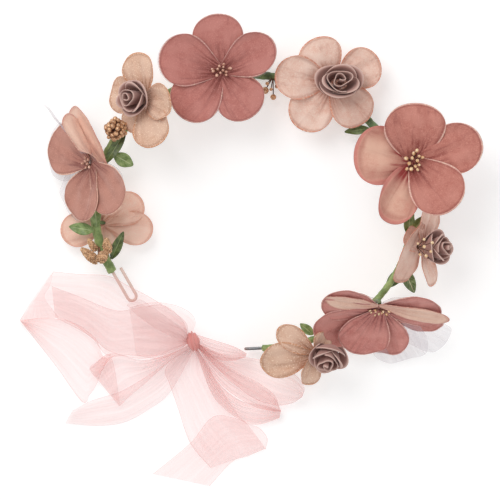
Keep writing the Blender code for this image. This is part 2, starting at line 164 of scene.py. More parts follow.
def finishMesh(bm, name, materials, body, replaced=(), wall=None, subdivide=0, under=0):
    # Turns the bmesh into a riding piece; wall is a Solidify thickness, under the slot of its lower side.
    mesh = bpy.data.meshes.new(name)
    bm.to_mesh(mesh)
    bm.free()
    for material in materials:
        mesh.materials.append(material)
    mesh.shade_smooth()
    piece = bpy.data.objects.new(name, mesh)
    bpy.context.scene.collection.objects.link(piece)
    if wall:
        solid = piece.modifiers.new("wall", "SOLIDIFY")
        solid.thickness = wall
        solid.offset = -1
        solid.material_offset = under
    if subdivide:
        finer = piece.modifiers.new("finer", "SUBSURF")
        finer.levels = finer.render_levels = subdivide
    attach(piece, body)
    if replaced:
        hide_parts(*replaced)
    return piece


def meshPoints(node):
    return np.array([v.co for v in nodes[node].data.vertices], float).reshape(-1, 3)


def makeThreads():
    # Woven threads: a tone that varies from thread to thread and a height.
    tree, given, out = newGroup(
        "wovenThreads",
        [("Vector", "NodeSocketVector", None), ("Size", "NodeSocketFloat", 8.0),
            ("Mottle", "NodeSocketFloat", 6.0)],
        [("Tone", "NodeSocketFloat"), ("Height", "NodeSocketFloat")])
    warp = addNode(tree, "ShaderNodeTexWave", {"bands_direction": "X"}, Vector=given["Vector"], Scale=given["Size"],
                   Distortion=1.2)
    weft = addNode(tree, "ShaderNodeTexWave", {"bands_direction": "Y"}, Vector=given["Vector"], Scale=given["Size"],
                   Distortion=1.2)
    mottle = addNode(tree, "ShaderNodeTexNoise", Vector=given["Vector"], Scale=given["Mottle"], Detail=4.0,
                     Roughness=0.65)
    fine = addNode(tree, "ShaderNodeTexNoise", Vector=given["Vector"], Scale=times(tree, given["Mottle"], 5.0),
                   Detail=2.0)
    height = plus(tree, warp.outputs["Fac"], weft.outputs["Fac"])
    tone = plus(tree, times(tree, mottle.outputs["Fac"], 0.6),
                times(tree, fine.outputs["Fac"], 0.4))
    tree.links.new(tone, out["Tone"])
    tree.links.new(height, out["Height"])
    return tree


def makeCutEdge():
    # Mask of the glued and glittered cut edge of a petal, from its own shape map.
    tree, given, out = newGroup(
        "glitterEdge",
        [("Shape", "NodeSocketVector", None), ("Points", "NodeSocketVector", None),
            ("Width", "NodeSocketFloat", 0.035),
         ("Grain", "NodeSocketFloat", 900.0)],
        [("Edge", "NodeSocketFloat"), ("Line", "NodeSocketFloat"), ("Glitter", "NodeSocketFloat")])
    parts = addNode(tree, "ShaderNodeSeparateXYZ", Vector=given["Shape"])
    side = calc(tree, "ABSOLUTE", minus(tree, parts.outputs["X"], 0.5))
    fromSide = minus(tree, 0.5, side)
    fromTip = minus(tree, 1.0, parts.outputs["Y"])
    near = calc(tree, "MINIMUM", times(tree, fromSide, 0.45), fromTip)
    ratio = calc(tree, "DIVIDE", near, given["Width"])
    edge = minus(tree, 1.0, ramp(tree, ratio, 0.45, 0.90))
    line = times(tree, ramp(tree, ratio, 0.55, 0.90), minus(tree, 1.0, ramp(tree, ratio, 1.0, 1.9)))
    grain = addNode(tree, "ShaderNodeTexNoise", Vector=given["Points"], Scale=given["Grain"], Detail=1.0)
    glitter = times(tree, edge, ramp(tree, grain.outputs["Fac"], 0.52, 0.62))
    tree.links.new(edge, out["Edge"])
    tree.links.new(line, out["Line"])
    tree.links.new(glitter, out["Glitter"])
    return tree


threads = makeThreads()
cutEdge = makeCutEdge()
print("node groups made")


clothColours = {  # display colours (dark is also the colour of the painted shade towards the root and in the creases, root the strength of that shade), and the width and glitter of the cut edge
    "roseFace": dict(light=(199, 134, 125), mid=(177, 106, 97), dark=(117, 54, 50),
        edge=(206, 158, 152), rim=0.030, glitter=0.25),
    "redFace": dict(light=(209, 142, 128), mid=(183, 109, 96), dark=(126, 50, 46),
        edge=(232, 186, 174), rim=0.036, glitter=0.3),
    "frontFace": dict(light=(218, 151, 141), mid=(191, 110, 102), dark=(122, 52, 50),
        edge=(216, 160, 152), rim=0.030, glitter=0.25),
    "leftFace": dict(light=(199, 143, 127), mid=(177, 118, 103), dark=(125, 65, 58),
        edge=(230, 180, 158), rim=0.030, glitter=0.3),
    "roseUnder": dict(light=(242, 204, 184), mid=(226, 182, 162), dark=(196, 134, 118),
        edge=(196, 112, 100), rim=0.035, glitter=0.25),
    "rolledUnder": dict(light=(232, 186, 164), mid=(216, 156, 138), dark=(149, 56, 53),
        edge=(204, 122, 114), rim=0.10, glitter=0.03, root=1.25),
    "peachFace": dict(light=(247, 217, 202), mid=(231, 180, 159), dark=(177, 109, 87),
        edge=(216, 134, 106), rim=0.045, glitter=0.3),
    "peachUnder": dict(light=(247, 208, 188), mid=(235, 178, 155), dark=(184, 116, 95),
        edge=(220, 142, 116), rim=0.045, glitter=0.3),
    # peach painted brighter, to offset the shade on the flower that lies under the others
    "backPeach": dict(light=(255, 216, 198), mid=(250, 194, 172), dark=(210, 140, 118),
        edge=(228, 156, 132), rim=0.045, glitter=0.3),
    "orangeFace": dict(light=(234, 198, 175), mid=(213, 165, 136), dark=(159, 100, 71),
        edge=(206, 138, 96), rim=0.05, glitter=0.8),
}


def clothMaterial(name, colours):
    # petal cloth: paler in the middle of a petal, with painted shade towards the root and along its radial creases, and
    # a glittered cut edge
    material, tree, shader = newMaterial(name, 0.82, Sheen_Weight=0.25, Sheen_Roughness=0.5)
    shader.inputs["Specular IOR Level"].default_value = 0.2
    light, mid, dark = (paint(*colours[key]) for key in ("light", "mid", "dark"))
    flat, shape, points = uvPoints(tree, "flat"), uvPoints(tree, "shape"), objectPoints(tree)
    weave = useGroup(tree, threads, Vector=flat, Size=7.0, Mottle=2.6)
    edge = useGroup(tree, cutEdge, Shape=shape, Points=points, Width=colours["rim"])
    parts = addNode(tree, "ShaderNodeSeparateXYZ", Vector=shape)
    fan = addNode(tree, "ShaderNodeCombineXYZ", X=times(tree, parts.outputs["X"], 7.0),
                  Y=times(tree, parts.outputs["Y"], 0.9))
    radialFolds = addNode(tree, "ShaderNodeTexNoise", Vector=calcVector(tree, fan.outputs[0], points), Scale=2.0, Detail=4.0,
                    Roughness=0.55)
    clouds = addNode(tree, "ShaderNodeTexNoise", Vector=points, Scale=70.0, Detail=1.5)
    colour = mixColour(tree, ramp(tree, weave["Tone"], 0.22, 0.74), mid, light)
    # painted shade: the cloth is darkened towards the root of the petal, more where the radial folds run
    toRoot = minus(tree, 1.0, ramp(tree, parts.outputs["Y"], 0.04, 0.66))
    shade = times(tree, toRoot, plus(tree, 0.4, ramp(tree, radialFolds.outputs["Fac"], 0.40, 0.64)))
    colour = mixColour(tree, times(tree, shade, colours.get("root", 0.72), clamp=True), colour, dark)
    # painted crease shade: dark streaks along the radial folds
    creaseShade = times(tree, ramp(tree, radialFolds.outputs["Fac"], 0.52, 0.74), 0.36)
    colour = mixColour(tree, creaseShade, colour, dark)
    middle = times(tree, ramp(tree, parts.outputs["Y"], 0.30, 0.62),
                  minus(tree, 1.0, ramp(tree, parts.outputs["Y"], 0.84, 0.98)))
    pale = times(tree, middle, times(tree, ramp(tree, clouds.outputs["Fac"], 0.44, 0.62), 0.75))
    colour = mixColour(tree, pale, colour, light)
    colour = mixColour(tree, times(tree, edge["Line"], 0.38), colour, dark)
    colour = mixColour(tree, times(tree, edge["Edge"], 0.8), colour, paint(*colours["edge"]))
    colour = mixColour(tree, times(tree, edge["Glitter"], min(0.6, 2 * colours["glitter"])), colour,
                       paint(250, 224, 200))
    specks = addNode(tree, "ShaderNodeTexNoise", Vector=points, Scale=1500.0, Detail=1.0)
    sparkle = times(tree, ramp(tree, specks.outputs["Fac"], 0.60, 0.70), colours["glitter"])
    colour = mixColour(tree, sparkle, colour, paint(*[min(255, c + 34) for c in colours["light"]]))
    feed(tree, shader, Base_Color=colour, Metallic=times(tree, edge["Glitter"], 0.5),
         Roughness=minus(tree, 0.82, times(tree, edge["Glitter"], 0.4)),
         Normal=bump(tree, plus(tree, weave["Height"], times(tree, radialFolds.outputs["Fac"], 5.0)),
                     0.35, 0.00025))
    return material


def calcVector(tree, a, b):
    # Adds a little of the object position, so that no two petals share a pattern.
    far = addNode(tree, "ShaderNodeVectorMath", {"operation": "SCALE"}, Vector=b, Scale=20.0)
    made = addNode(tree, "ShaderNodeVectorMath", {"operation": "ADD"}, i0=a, i1=far.outputs[0])
    return made.outputs[0]


def sheerMaterial(name, colour, deep, thin, hem, glow=0.0):
    # Organza: each layer lets most light through, gathered cloth is denser, and the woven edge shows as a line.
    material, tree, shader = newMaterial(name, 0.55, Sheen_Weight=0.3)
    shader.inputs["Specular IOR Level"].default_value = 0.3
    shader.inputs["Emission Color"].default_value = paint(*deep)
    shader.inputs["Emission Strength"].default_value = glow  # painted glow: an emission standing in for the light that comes through from below
    flat, shape = uvPoints(tree, "flat"), uvPoints(tree, "shape")
    weave = useGroup(tree, threads, Vector=flat, Size=9.0, Mottle=1.6)
    gather = addNode(tree, "ShaderNodeAttribute", {"attribute_name": "gather"}).outputs["Fac"]
    parts = addNode(tree, "ShaderNodeSeparateXYZ", Vector=shape)
    side = calc(tree, "ABSOLUTE", minus(tree, parts.outputs["X"], 0.5))
    line = ramp(tree, side, 0.5 - hem, 0.5 - hem * 0.5)
    layers = plus(tree, gather, times(tree, line, 1.3))
    streaks = addNode(tree, "ShaderNodeTexNoise", Scale=1.0, Detail=3.0,
                      Vector=addNode(tree, "ShaderNodeVectorMath", {"operation": "MULTIPLY"}, i0=flat,
                                     i1=(3.2, 0.25, 1.0)).outputs[0])
    layers = times(tree, layers, plus(tree, 0.30, times(tree, streaks.outputs["Fac"], 1.4)))
    mesh = plus(tree, 0.88, times(tree, weave["Height"], 0.12))
    alpha = minus(tree, 1.0, calc(tree, "POWER", 1.0 - thin, times(tree, layers, mesh)), clamp=True)
    tint = mixColour(tree, ramp(tree, gather, 1.0, 4.5), paint(*colour), paint(*deep))
    feed(tree, shader, Alpha=alpha, Base_Color=tint, Normal=bump(tree, weave["Height"], 0.15, 0.0001))
    return material


def foamMaterial(name, face, rim):
    material, tree, shader = newMaterial(name, 0.75, Sheen_Weight=0.2)
    points, shape = objectPoints(tree), uvPoints(tree, "shape")
    parts = addNode(tree, "ShaderNodeSeparateXYZ", Vector=shape)
    cells = addNode(tree, "ShaderNodeTexNoise", Vector=points, Scale=1400.0, Detail=3.0)
    cloudy = addNode(tree, "ShaderNodeTexNoise", Vector=points, Scale=160.0, Detail=2.0)
    colour = mixColour(tree, times(tree, cloudy.outputs["Fac"], 0.6), paint(*face),
                       paint(*[int(c * 0.82) for c in face]))
    colour = mixColour(tree, times(tree, ramp(tree, parts.outputs["Y"], 0.80, 1.0), 0.8), colour, paint(*rim))
    feed(tree, shader, Base_Color=colour, Normal=bump(tree, cells.outputs["Fac"], 0.3, 0.0002))
    return material


def leafMaterial(name, face, dark, vein):
    # Printed satin leaf with a midrib and slanting veins.
    material, tree, shader = newMaterial(name, 0.45, Coat_Weight=0.12)
    shape, points = uvPoints(tree, "shape"), objectPoints(tree)
    parts = addNode(tree, "ShaderNodeSeparateXYZ", Vector=shape)
    side = calc(tree, "ABSOLUTE", minus(tree, parts.outputs["X"], 0.5))
    slant = minus(tree, times(tree, parts.outputs["Y"], 7.0), times(tree, side, 4.0))
    wave = calc(tree, "ABSOLUTE", calc(tree, "SINE", times(tree, slant, pi)))
    ribs = minus(tree, 1.0, ramp(tree, wave, 0.05, 0.28))
    midrib = minus(tree, 1.0, ramp(tree, side, 0.012, 0.05))
    mottle = addNode(tree, "ShaderNodeTexNoise", Vector=points, Scale=320.0, Detail=4.0)
    colour = mixColour(tree, ramp(tree, mottle.outputs["Fac"], 0.35, 0.68), paint(*dark), paint(*face))
    colour = mixColour(tree, times(tree, calc(tree, "MAXIMUM", times(tree, ribs, 0.35), midrib), 0.7),
                       colour, paint(*vein))
    height = minus(tree, times(tree, mottle.outputs["Fac"], 0.4),
                  calc(tree, "MAXIMUM", ribs, midrib))
    feed(tree, shader, Base_Color=colour, Normal=bump(tree, height, 0.5, 0.0003))
    return material


def tapeMaterial(name, face, dark):
    # Waxed crepe tape: fine crinkles with painted highlights on their ridges, and darker waxy patches.
    material, tree, shader = newMaterial(name, 0.62, Coat_Weight=0.08)
    points = objectPoints(tree)
    crinkle = addNode(tree, "ShaderNodeTexNoise", Vector=points, Scale=1300.0, Detail=4.0, Roughness=0.7)
    patches = addNode(tree, "ShaderNodeTexNoise", Vector=points, Scale=210.0, Detail=3.0)
    colour = mixColour(tree, ramp(tree, patches.outputs["Fac"], 0.34, 0.66), paint(*dark), paint(*face))
    # painted highlight: the crinkle ridges are painted lighter than the tape
    colour = mixColour(tree, ramp(tree, crinkle.outputs["Fac"], 0.55, 0.8), colour, paint(*[min(255, c + 40) for c in face]))
    feed(tree, shader, Base_Color=colour, Normal=bump(tree, crinkle.outputs["Fac"], 0.7, 0.0004))
    return material


def wireMaterial():
    # Paper-wrapped wire, pale pink, and bare grey metal by the right end.
    material, tree, shader = newMaterial("wrappedWire", 0.55)
    points = objectPoints(tree)
    parts = addNode(tree, "ShaderNodeSeparateXYZ", Vector=points)
    bare = ramp(tree, parts.outputs["X"], -0.012, 0.0)
    fibres = addNode(tree, "ShaderNodeTexNoise", Vector=points, Scale=900.0, Detail=4.0)
    wrap = mixColour(tree, fibres.outputs["Fac"], paint(240, 214, 204), paint(212, 184, 172))
    metal = mixColour(tree, fibres.outputs["Fac"], paint(128, 128, 130), paint(88, 88, 92))
    feed(tree, shader, Base_Color=mixColour(tree, bare, wrap, metal), Metallic=times(tree, bare, 0.7),
         Roughness=minus(tree, 0.65, times(tree, bare, 0.3)),
         Normal=bump(tree, fibres.outputs["Fac"], 0.4, 0.0002))
    return material


def grainMaterial(name, face, dark, bright, roughness, metallic, scale):
    # Painted beads, pearls and threads: two tones, with glints painted into the colour (on the glittered berries and
    # buds also standing for glitter).
    material, tree, shader = newMaterial(name, roughness, Metallic=metallic)
    points = objectPoints(tree)
    patches = addNode(tree, "ShaderNodeTexNoise", Vector=points, Scale=scale, Detail=3.0)
    glints = addNode(tree, "ShaderNodeTexNoise", Vector=points, Scale=scale * 4, Detail=2.0)
    colour = mixColour(tree, ramp(tree, patches.outputs["Fac"], 0.36, 0.62), paint(*dark), paint(*face))
    # painted glints: bright specks painted into the colour
    colour = mixColour(tree, ramp(tree, glints.outputs["Fac"], 0.56, 0.66), colour, paint(*bright))
    feed(tree, shader, Base_Color=colour, Normal=bump(tree, glints.outputs["Fac"], 0.3, 0.0002))
    return material


cloth = {name: clothMaterial(name, colours) for name, colours in clothColours.items()}
whiteOrganza = sheerMaterial("whiteOrganza", (208, 198, 206), (206, 190, 198), 0.28, 0.02)
pinkOrganza = sheerMaterial("pinkOrganza", (234, 178, 174), (240, 158, 148), 0.20, 0.016, glow=0.09)
knotOrganza = sheerMaterial("knotOrganza", (226, 166, 158), (214, 142, 136), 0.60, 0.014, glow=0.10)
roseFoam = foamMaterial("roseFoam", (180, 136, 126), (222, 190, 178))
leafGreen = leafMaterial("leafGreen", (146, 166, 106), (100, 124, 64), (196, 208, 160))
leafDark = leafMaterial("leafDark", (104, 122, 66), (66, 80, 40), (160, 172, 120))
leafCream = leafMaterial("leafCream", (136, 158, 108), (84, 108, 58), (240, 230, 200))
tapeGreen = tapeMaterial("tapeGreen", (156, 176, 112), (112, 134, 76))
tapeDark = tapeMaterial("tapeDark", (108, 132, 84), (66, 88, 54))
wirePaper = wireMaterial()
threadBrown = grainMaterial("threadBrown", (150, 100, 78), (96, 54, 42), (190, 150, 120), 0.6, 0.0, 900.0)
threadDark = grainMaterial("threadDark", (96, 56, 40), (54, 28, 22), (150, 110, 80), 0.6, 0.0, 900.0)
grainMaterial("pearlPink", (228, 182, 160), (190, 134, 112), (250, 226, 206), 0.30, 0.1, 700.0)
pearlGold = grainMaterial("pearlGold", (250, 220, 176), (216, 162, 108), (255, 250, 230), 0.22, 0.2, 700.0)
goldPaint = grainMaterial("goldPaint", (226, 174, 128), (160, 108, 72), (255, 236, 206), 0.30, 0.30, 700.0)
budPaint = grainMaterial("budPaint", (226, 180, 136), (160, 114, 78), (255, 230, 196), 0.45, 0.15, 800.0)
print("materials made:", len(bpy.data.materials))


def leanTurn(lean, to):
    # Turned so that the up axis leans by lean towards the direction to.
    axis = Vector((-sin(radians(to)), cos(radians(to)), 0))
    return Matrix.Rotation(radians(lean), 3, axis)


def flowerBase(node, lean, to):
    # The middle of the hole in a CAD petal layer, from a circle through the rim of the hole.
    turn = np.array(leanTurn(lean, to))
    local = meshPoints(node) @ turn
    centre = local[:, :2].mean(0)
    for _ in range(4):
        away = np.linalg.norm(local[:, :2] - centre, axis=1)
        ring = local[away < away.min() + 0.6 * mm]
        a = np.c_[2 * ring[:, :2], np.ones(len(ring))]
        solved = np.linalg.lstsq(a, (ring[:, :2] ** 2).sum(1), rcond=None)[0]
        centre = solved[:2]
    return Vector(turn @ np.array([*centre, ring[:, 2].min() - 0.5 * mm]))


def outlinePoint(length, width, s, v, root=0.2):
    # Flat place (across, along) of the petal outline grid at s across and v along, both 0 to 1.
    fan = (s - 0.5) * pi
    half = width / 2 * (root + (1 - root) * sin(v * pi / 2) ** 1.2)
    return half * sin(fan), length * v * (0.62 + 0.38 * cos(fan))


petalCloth = dict(steps=30, columns=20, rows=13, creaseWidth=1.3, ripple=0.5, crumple=1.1, patch=7)


def addPetal(bm, base, turn, petal, seed, drop=0.0, ruffle=1.0):
    # One cut petal, bent along its length by lift, cupped across it, and rippled.
    length, width = petal["length"], petal["width"]
    direction = radians(petal["turn"])
    outward, across = Vector((cos(direction), sin(direction), 0)), Vector((sin(direction), -cos(direction), 0))
    first, middle, last = petal["lift"]
    steps = petalCloth["steps"]
    reach, climb, places = 0.0, 0.0, [(0.0, 0.0, radians(first))]
    for i in range(steps):
        t = (i + 0.5) / steps
        angle = radians(first * (1 - t) * (1 - 2 * t) + middle * 4 * t * (1 - t) + last * t * (2 * t - 1))
        reach += cos(angle) * length / steps
        climb += sin(angle) * length / steps
        places.append((reach, climb, angle))
    left, right = petal.get("cup", (12, 12))
    rolled = radians(petal.get("roll", 0.0))
    made = bmesh.ops.create_grid(
        bm, x_segments=petalCloth["columns"], y_segments=petalCloth["rows"], size=0.5)["verts"]
    flatLayer, shapeLayer = bm.loops.layers.uv.get("flat"), bm.loops.layers.uv.get("shape")
    for face in {f for v in made for f in v.link_faces}:
        face.material_index = petal.get("side", 0)
        for loop in face.loops:
            s, v = loop.vert.co.x + 0.5, loop.vert.co.y + 0.5
            a, b = outlinePoint(length, width, s, v)
            loop[flatLayer].uv = (a / 10 + seed * 3.1, b / 10)
            loop[shapeLayer].uv = (s, v)
    for vert in made:
        s, v = vert.co.x + 0.5, vert.co.y + 0.5
        a, b = outlinePoint(length, width, s, v)
        t = b / length
        spot = min(t * steps, steps - 1e-6)
        i = int(spot)
        (r0, z0, a0), (r1, z1, a1) = places[i], places[min(i + 1, steps)]
        f = spot - i
        r, z, angle = r0 + (r1 - r0) * f, z0 + (z1 - z0) * f, a0 + (a1 - a0) * f
        cup = left if a < 0 else right
        bend = radians(cup) * t ** (0.7 if cup < 90 else 0.3) / (width / 2)  # a rolled side is rolled all along
        share, up = a / (width / 2), 0.0
        if abs(bend) > 1e-6:
            up = (1 - cos(bend * abs(a))) / bend
            a = sin(bend * abs(a)) / bend * (1 if a > 0 else -1)
        up -= petal.get("crease", 0.9) * exp(-(a / petalCloth["creaseWidth"]) ** 2) * (1 - t) ** 1.5 * min(1, t * 6)
        up += petalCloth["ripple"] * ruffle * cos(share * 9 + seed * 2.3) * sin(pi * min(1, t * 1.1)) * (0.4 + t)
        up += petal.get("wave", 0.8) * ruffle * t ** 3 * sin((s - 0.5) * 9 + seed * 1.7)
        crumple = noise.noise(Vector((a / petalCloth["patch"] + seed * 5.3, b / petalCloth["patch"], seed)))
        up += petalCloth["crumple"] * ruffle * t * crumple
        part = rolled * min(1.0, t * 3) ** 1.5
        a, up = a * cos(part) - up * sin(part), a * sin(part) + up * cos(part)
        up += petal.get("lay", 0.0)
        along = r - sin(angle) * up
        height = z + cos(angle) * up - drop
        shift = Vector(petal.get("shift", (0, 0, 0)))
        vert.co = base + (turn @ (outward * along + across * a + Vector((0, 0, height))) + shift) * mm
    return length, width


def flatArea(length, width):
    # Area of one petal's cut outline, in square metres.
    total, n = 0.0, 24
    for i in range(n):
        v0, v1 = i / n, (i + 1) / n
        for j in range(n):
            s0, s1 = j / n, (j + 1) / n
            quad = [outlinePoint(length, width, s, v) for s, v in ((s0, v0), (s1, v0), (s1, v1), (s0, v1))]
            total += sum(quad[k][0] * quad[(k + 1) % 4][1] - quad[(k + 1) % 4][0] * quad[k][1] for k in range(4)) / 2
    return abs(total) * mm * mm


def petalLayer(name, base, turn, petals, materials, body, node, seed, drop=0.0, ruffle=1.0,
               wall=0.35):
    bm = bmesh.new()
    bm.loops.layers.uv.new("flat")
    bm.loops.layers.uv.new("shape")
    area, longest = 0.0, 0.0
    for i, petal in enumerate(petals):
        length, width = addPetal(bm, base, turn, petal, seed + i, drop, ruffle)
        area += flatArea(length, width)
        longest = max(longest, length)
    gather = bm.verts.layers.float.new("gather")
    for vert in bm.verts:
        vert[gather] = 1.0
    bmesh.ops.remove_doubles(bm, verts=bm.verts, dist=0.02 * mm)
    piece = finishMesh(bm, name, materials, body, [node], wall=wall * mm if wall else None,
                       subdivide=1, under=1 if wall else 0)
    return piece


def petal(turn, length, width, lift=(14, 8, 4), **more):
    # turn: heading in degrees; length and width in mm; lift: slope at the root, middle and tip.
    # more: cup (left, right) and roll in degrees, crease, wave, lay and shift in mm, side: material slot.
    return dict(turn=turn, length=length, width=width, lift=lift, **more)


largeFlowers = {
    "flower_top": dict(
        lean=6, to=100, face="roseFace", under="roseUnder", seed=3,
        tuft=dict(thread="threadBrown", pearl="pearlPink", count=12, spread=6.4, height=7.5, size=0.85, flatten=0.6),
        petals=[
            petal(94, 34, 30, (22, 14, 2), lay=0.3, cup=(10, 26)),
            petal(25, 37, 26, (20, 18, 12), cup=(40, 28), lay=1.0, crease=1.6),
            petal(-55, 33, 29, (12, 4, -8), lay=1.7), petal(-132, 36, 30, (12, 6, -8), lay=2.0, cup=(8, 18)),
            petal(165, 38, 31, (20, 16, 6), cup=(6, 34), lay=1.6, crease=1.6)],
        backing=[petal(93, 32, 27), petal(23, 34, 24), petal(-57, 32, 28), petal(-132, 36, 30),
        petal(164, 38, 31)]),
    "flower_right": dict(
        lean=8, to=20, face="redFace", under="roseUnder", inside="rolledUnder", seed=11,
        tuft=dict(thread="threadDark", pearl="pearlGold", count=13, spread=5.6, height=10.5, size=1.2, flatten=1.2),
        petals=[
            petal(92, 36, 37, (36, 20, 0), cup=(26, 10), lay=1.2),
            petal(17, 42, 30, (24, 12, 0), cup=(24, 10), lay=2.0),
            petal(-53, 38, 33, (28, 18, 0), cup=(20, 22), lay=2.8, crease=1.6),
            petal(-114, 41, 25, (30, 10, -12), cup=(30, 60), lay=0.6, side=1),
            petal(172, 37, 35, (34, 6, -14), cup=(22, 26), lay=0.3, side=1, crease=1.4)],
        backing=[petal(92, 34, 34, (26, 16, 2)), petal(17, 40, 28, (20, 12, 0)), petal(-53, 32, 28, (22, 14, 0)),
                 petal(-114, 34, 22), petal(172, 33, 32)]),
    "flower_front": dict(
        lean=54, to=-94, face="frontFace", under="roseUnder", seed=23,
        tuft=dict(thread="threadBrown", pearl="pearlGold", count=10, spread=6.4, height=5.0, size=0.7, flatten=0.6),
        petals=[
            petal(-116, 35, 31, (8, 16, 18), cup=(14, 20), lay=2.2, wave=1.4),
            petal(-80, 37, 27, (4, 10, 14), cup=(14, 20), lay=1.5, wave=1.2),
            petal(9, 37, 29, (12, 6, 0), cup=(4, 14), lay=0.5, wave=0.5),
            petal(158, 35, 30, (12, 6, 0), cup=(14, 4), lay=0.9, wave=0.5),
            petal(211, 43, 33, (4, 10, 12), cup=(30, 14), lay=1.4, wave=1.2),
            petal(-17, 39, 20, (2, 4, 6), cup=(10, 20), lay=0.9),
            petal(162, 32, 13, (9, 6, 0), cup=(10, 10), lay=6.0, wave=0.3, side=1, shift=(-1, 6, 2)),
            petal(-9, 41, 13, (9, 6, 0), cup=(10, 10), lay=6.0, wave=0.3, side=1, shift=(1, 6, 2))],
        backing=[petal(-66, 45, 36, (14, 16, 12), wave=2.2), petal(-41, 50, 34, (0, 4, 4), wave=2.6),
                 petal(12, 32, 22), petal(160, 27, 24)]),
    "flower_left": dict(
        lean=48, to=180, face="leftFace", under="roseUnder", seed=31,
        tuft=dict(thread="threadBrown", pearl="pearlPink", count=7, spread=4.0, height=4.0, size=0.7, flatten=1.0),
        petals=[
            petal(157, 36, 31, (0, 0, 2), cup=(14, 16), lay=0.8),
            petal(131, 46, 23, (6, 2, -2), roll=10, cup=(14, 12), lay=0.6, side=1, shift=(10, -3, 3)),
            petal(121, 38, 22, (12, 8, 4), roll=74, cup=(20, 34), lay=1.6, shift=(6, -3, 2)),
            petal(-50, 34, 31, (-8, -6, -4), cup=(24, 14), lay=1.2, shift=(2, 0, 0)),
            petal(-118, 35, 29, (-4, -2, 0), cup=(20, 24), lay=1.8, shift=(3.5, -1, 0))],
        backing=[petal(163, 40, 35, (0, 1, 2), lay=-1), petal(118, 44, 10, (28, 28, 20), roll=50),
                 petal(-49, 28, 26, (-12, -10, -8), lay=-1), petal(-128, 38, 31, (-4, -3, 0), lay=-1)]),
}


def stamenTuft(name, base, turn, node, body, thread, pearl, count, spread, height, size, flatten, seed):
    # Waxed threads that splay from one point, each with a pearl at its tip.
    rng = random.Random(seed)
    bm = bmesh.new()
    for i in range(count):
        around = i * goldenTurn + rng.uniform(-0.2, 0.2)
        out = spread * sqrt((i + 0.6) / count)
        out *= rng.uniform(0.82, 1.12)
        tip = Vector((cos(around) * out, sin(around) * out * flatten, height * rng.uniform(0.70, 1.0)))
        root = Vector((cos(around) * 0.8, sin(around) * 0.8, 0.6))
        knee = root.lerp(tip, 0.5) + Vector((0, 0, height * 0.12))
        for a, b in ((root, knee), (knee, tip)):
            way = b - a
            place = Matrix.Translation(base + turn @ ((a + b) / 2 * mm)) @ (
                turn.to_4x4() @ Vector((0, 0, 1)).rotation_difference(way).to_matrix().to_4x4())
            bmesh.ops.create_cone(bm, cap_ends=True, segments=6, radius1=0.32 * mm, radius2=0.26 * mm,
                                  depth=way.length * mm * 1.06, matrix=place)
        stretch = Matrix.Diagonal((1, 1, 1.45, 1))
        place = Matrix.Translation(base + turn @ (tip * mm)) @ (
            turn.to_4x4() @ Vector((0, 0, 1)).rotation_difference(tip - knee).to_matrix().to_4x4() @ stretch)
        made = bmesh.ops.create_icosphere(bm, subdivisions=2, radius=size * rng.uniform(0.7, 1.15) * mm, matrix=place)
        for face in {f for v in made["verts"] for f in v.link_faces}:
            face.material_index = 1
    return finishMesh(bm, name, [thread, pearl], body, [node])


materialNamed = {m.name: m for m in bpy.data.materials}
for name, flower in largeFlowers.items():
    base, turn = flowerBase(name + "_petals", flower["lean"], flower["to"]), leanTurn(flower["lean"], flower["to"])
    body = name
    face, under = cloth[flower["face"]], cloth[flower["under"]]
    faces = [face, cloth[flower.get("inside", flower["under"])], face]
    petalLayer(name + "_cloth", base, turn, flower["petals"], faces, body, name + "_petals",
               flower["seed"], drop=-1.0)
    petalLayer(name + "_sheer", base, turn, flower["backing"], [whiteOrganza], body, name + "_backing",
               flower["seed"] + 50, drop=1.4, ruffle=1.5, wall=None)
    tuft = dict(flower["tuft"])
    thread, pearl = materialNamed[tuft.pop("thread")], materialNamed[tuft.pop("pearl")]
    stamenTuft(name + "_tuft", base, turn, name + "_stamens", body, thread, pearl, seed=flower["seed"], **tuft)
print("large flowers made")

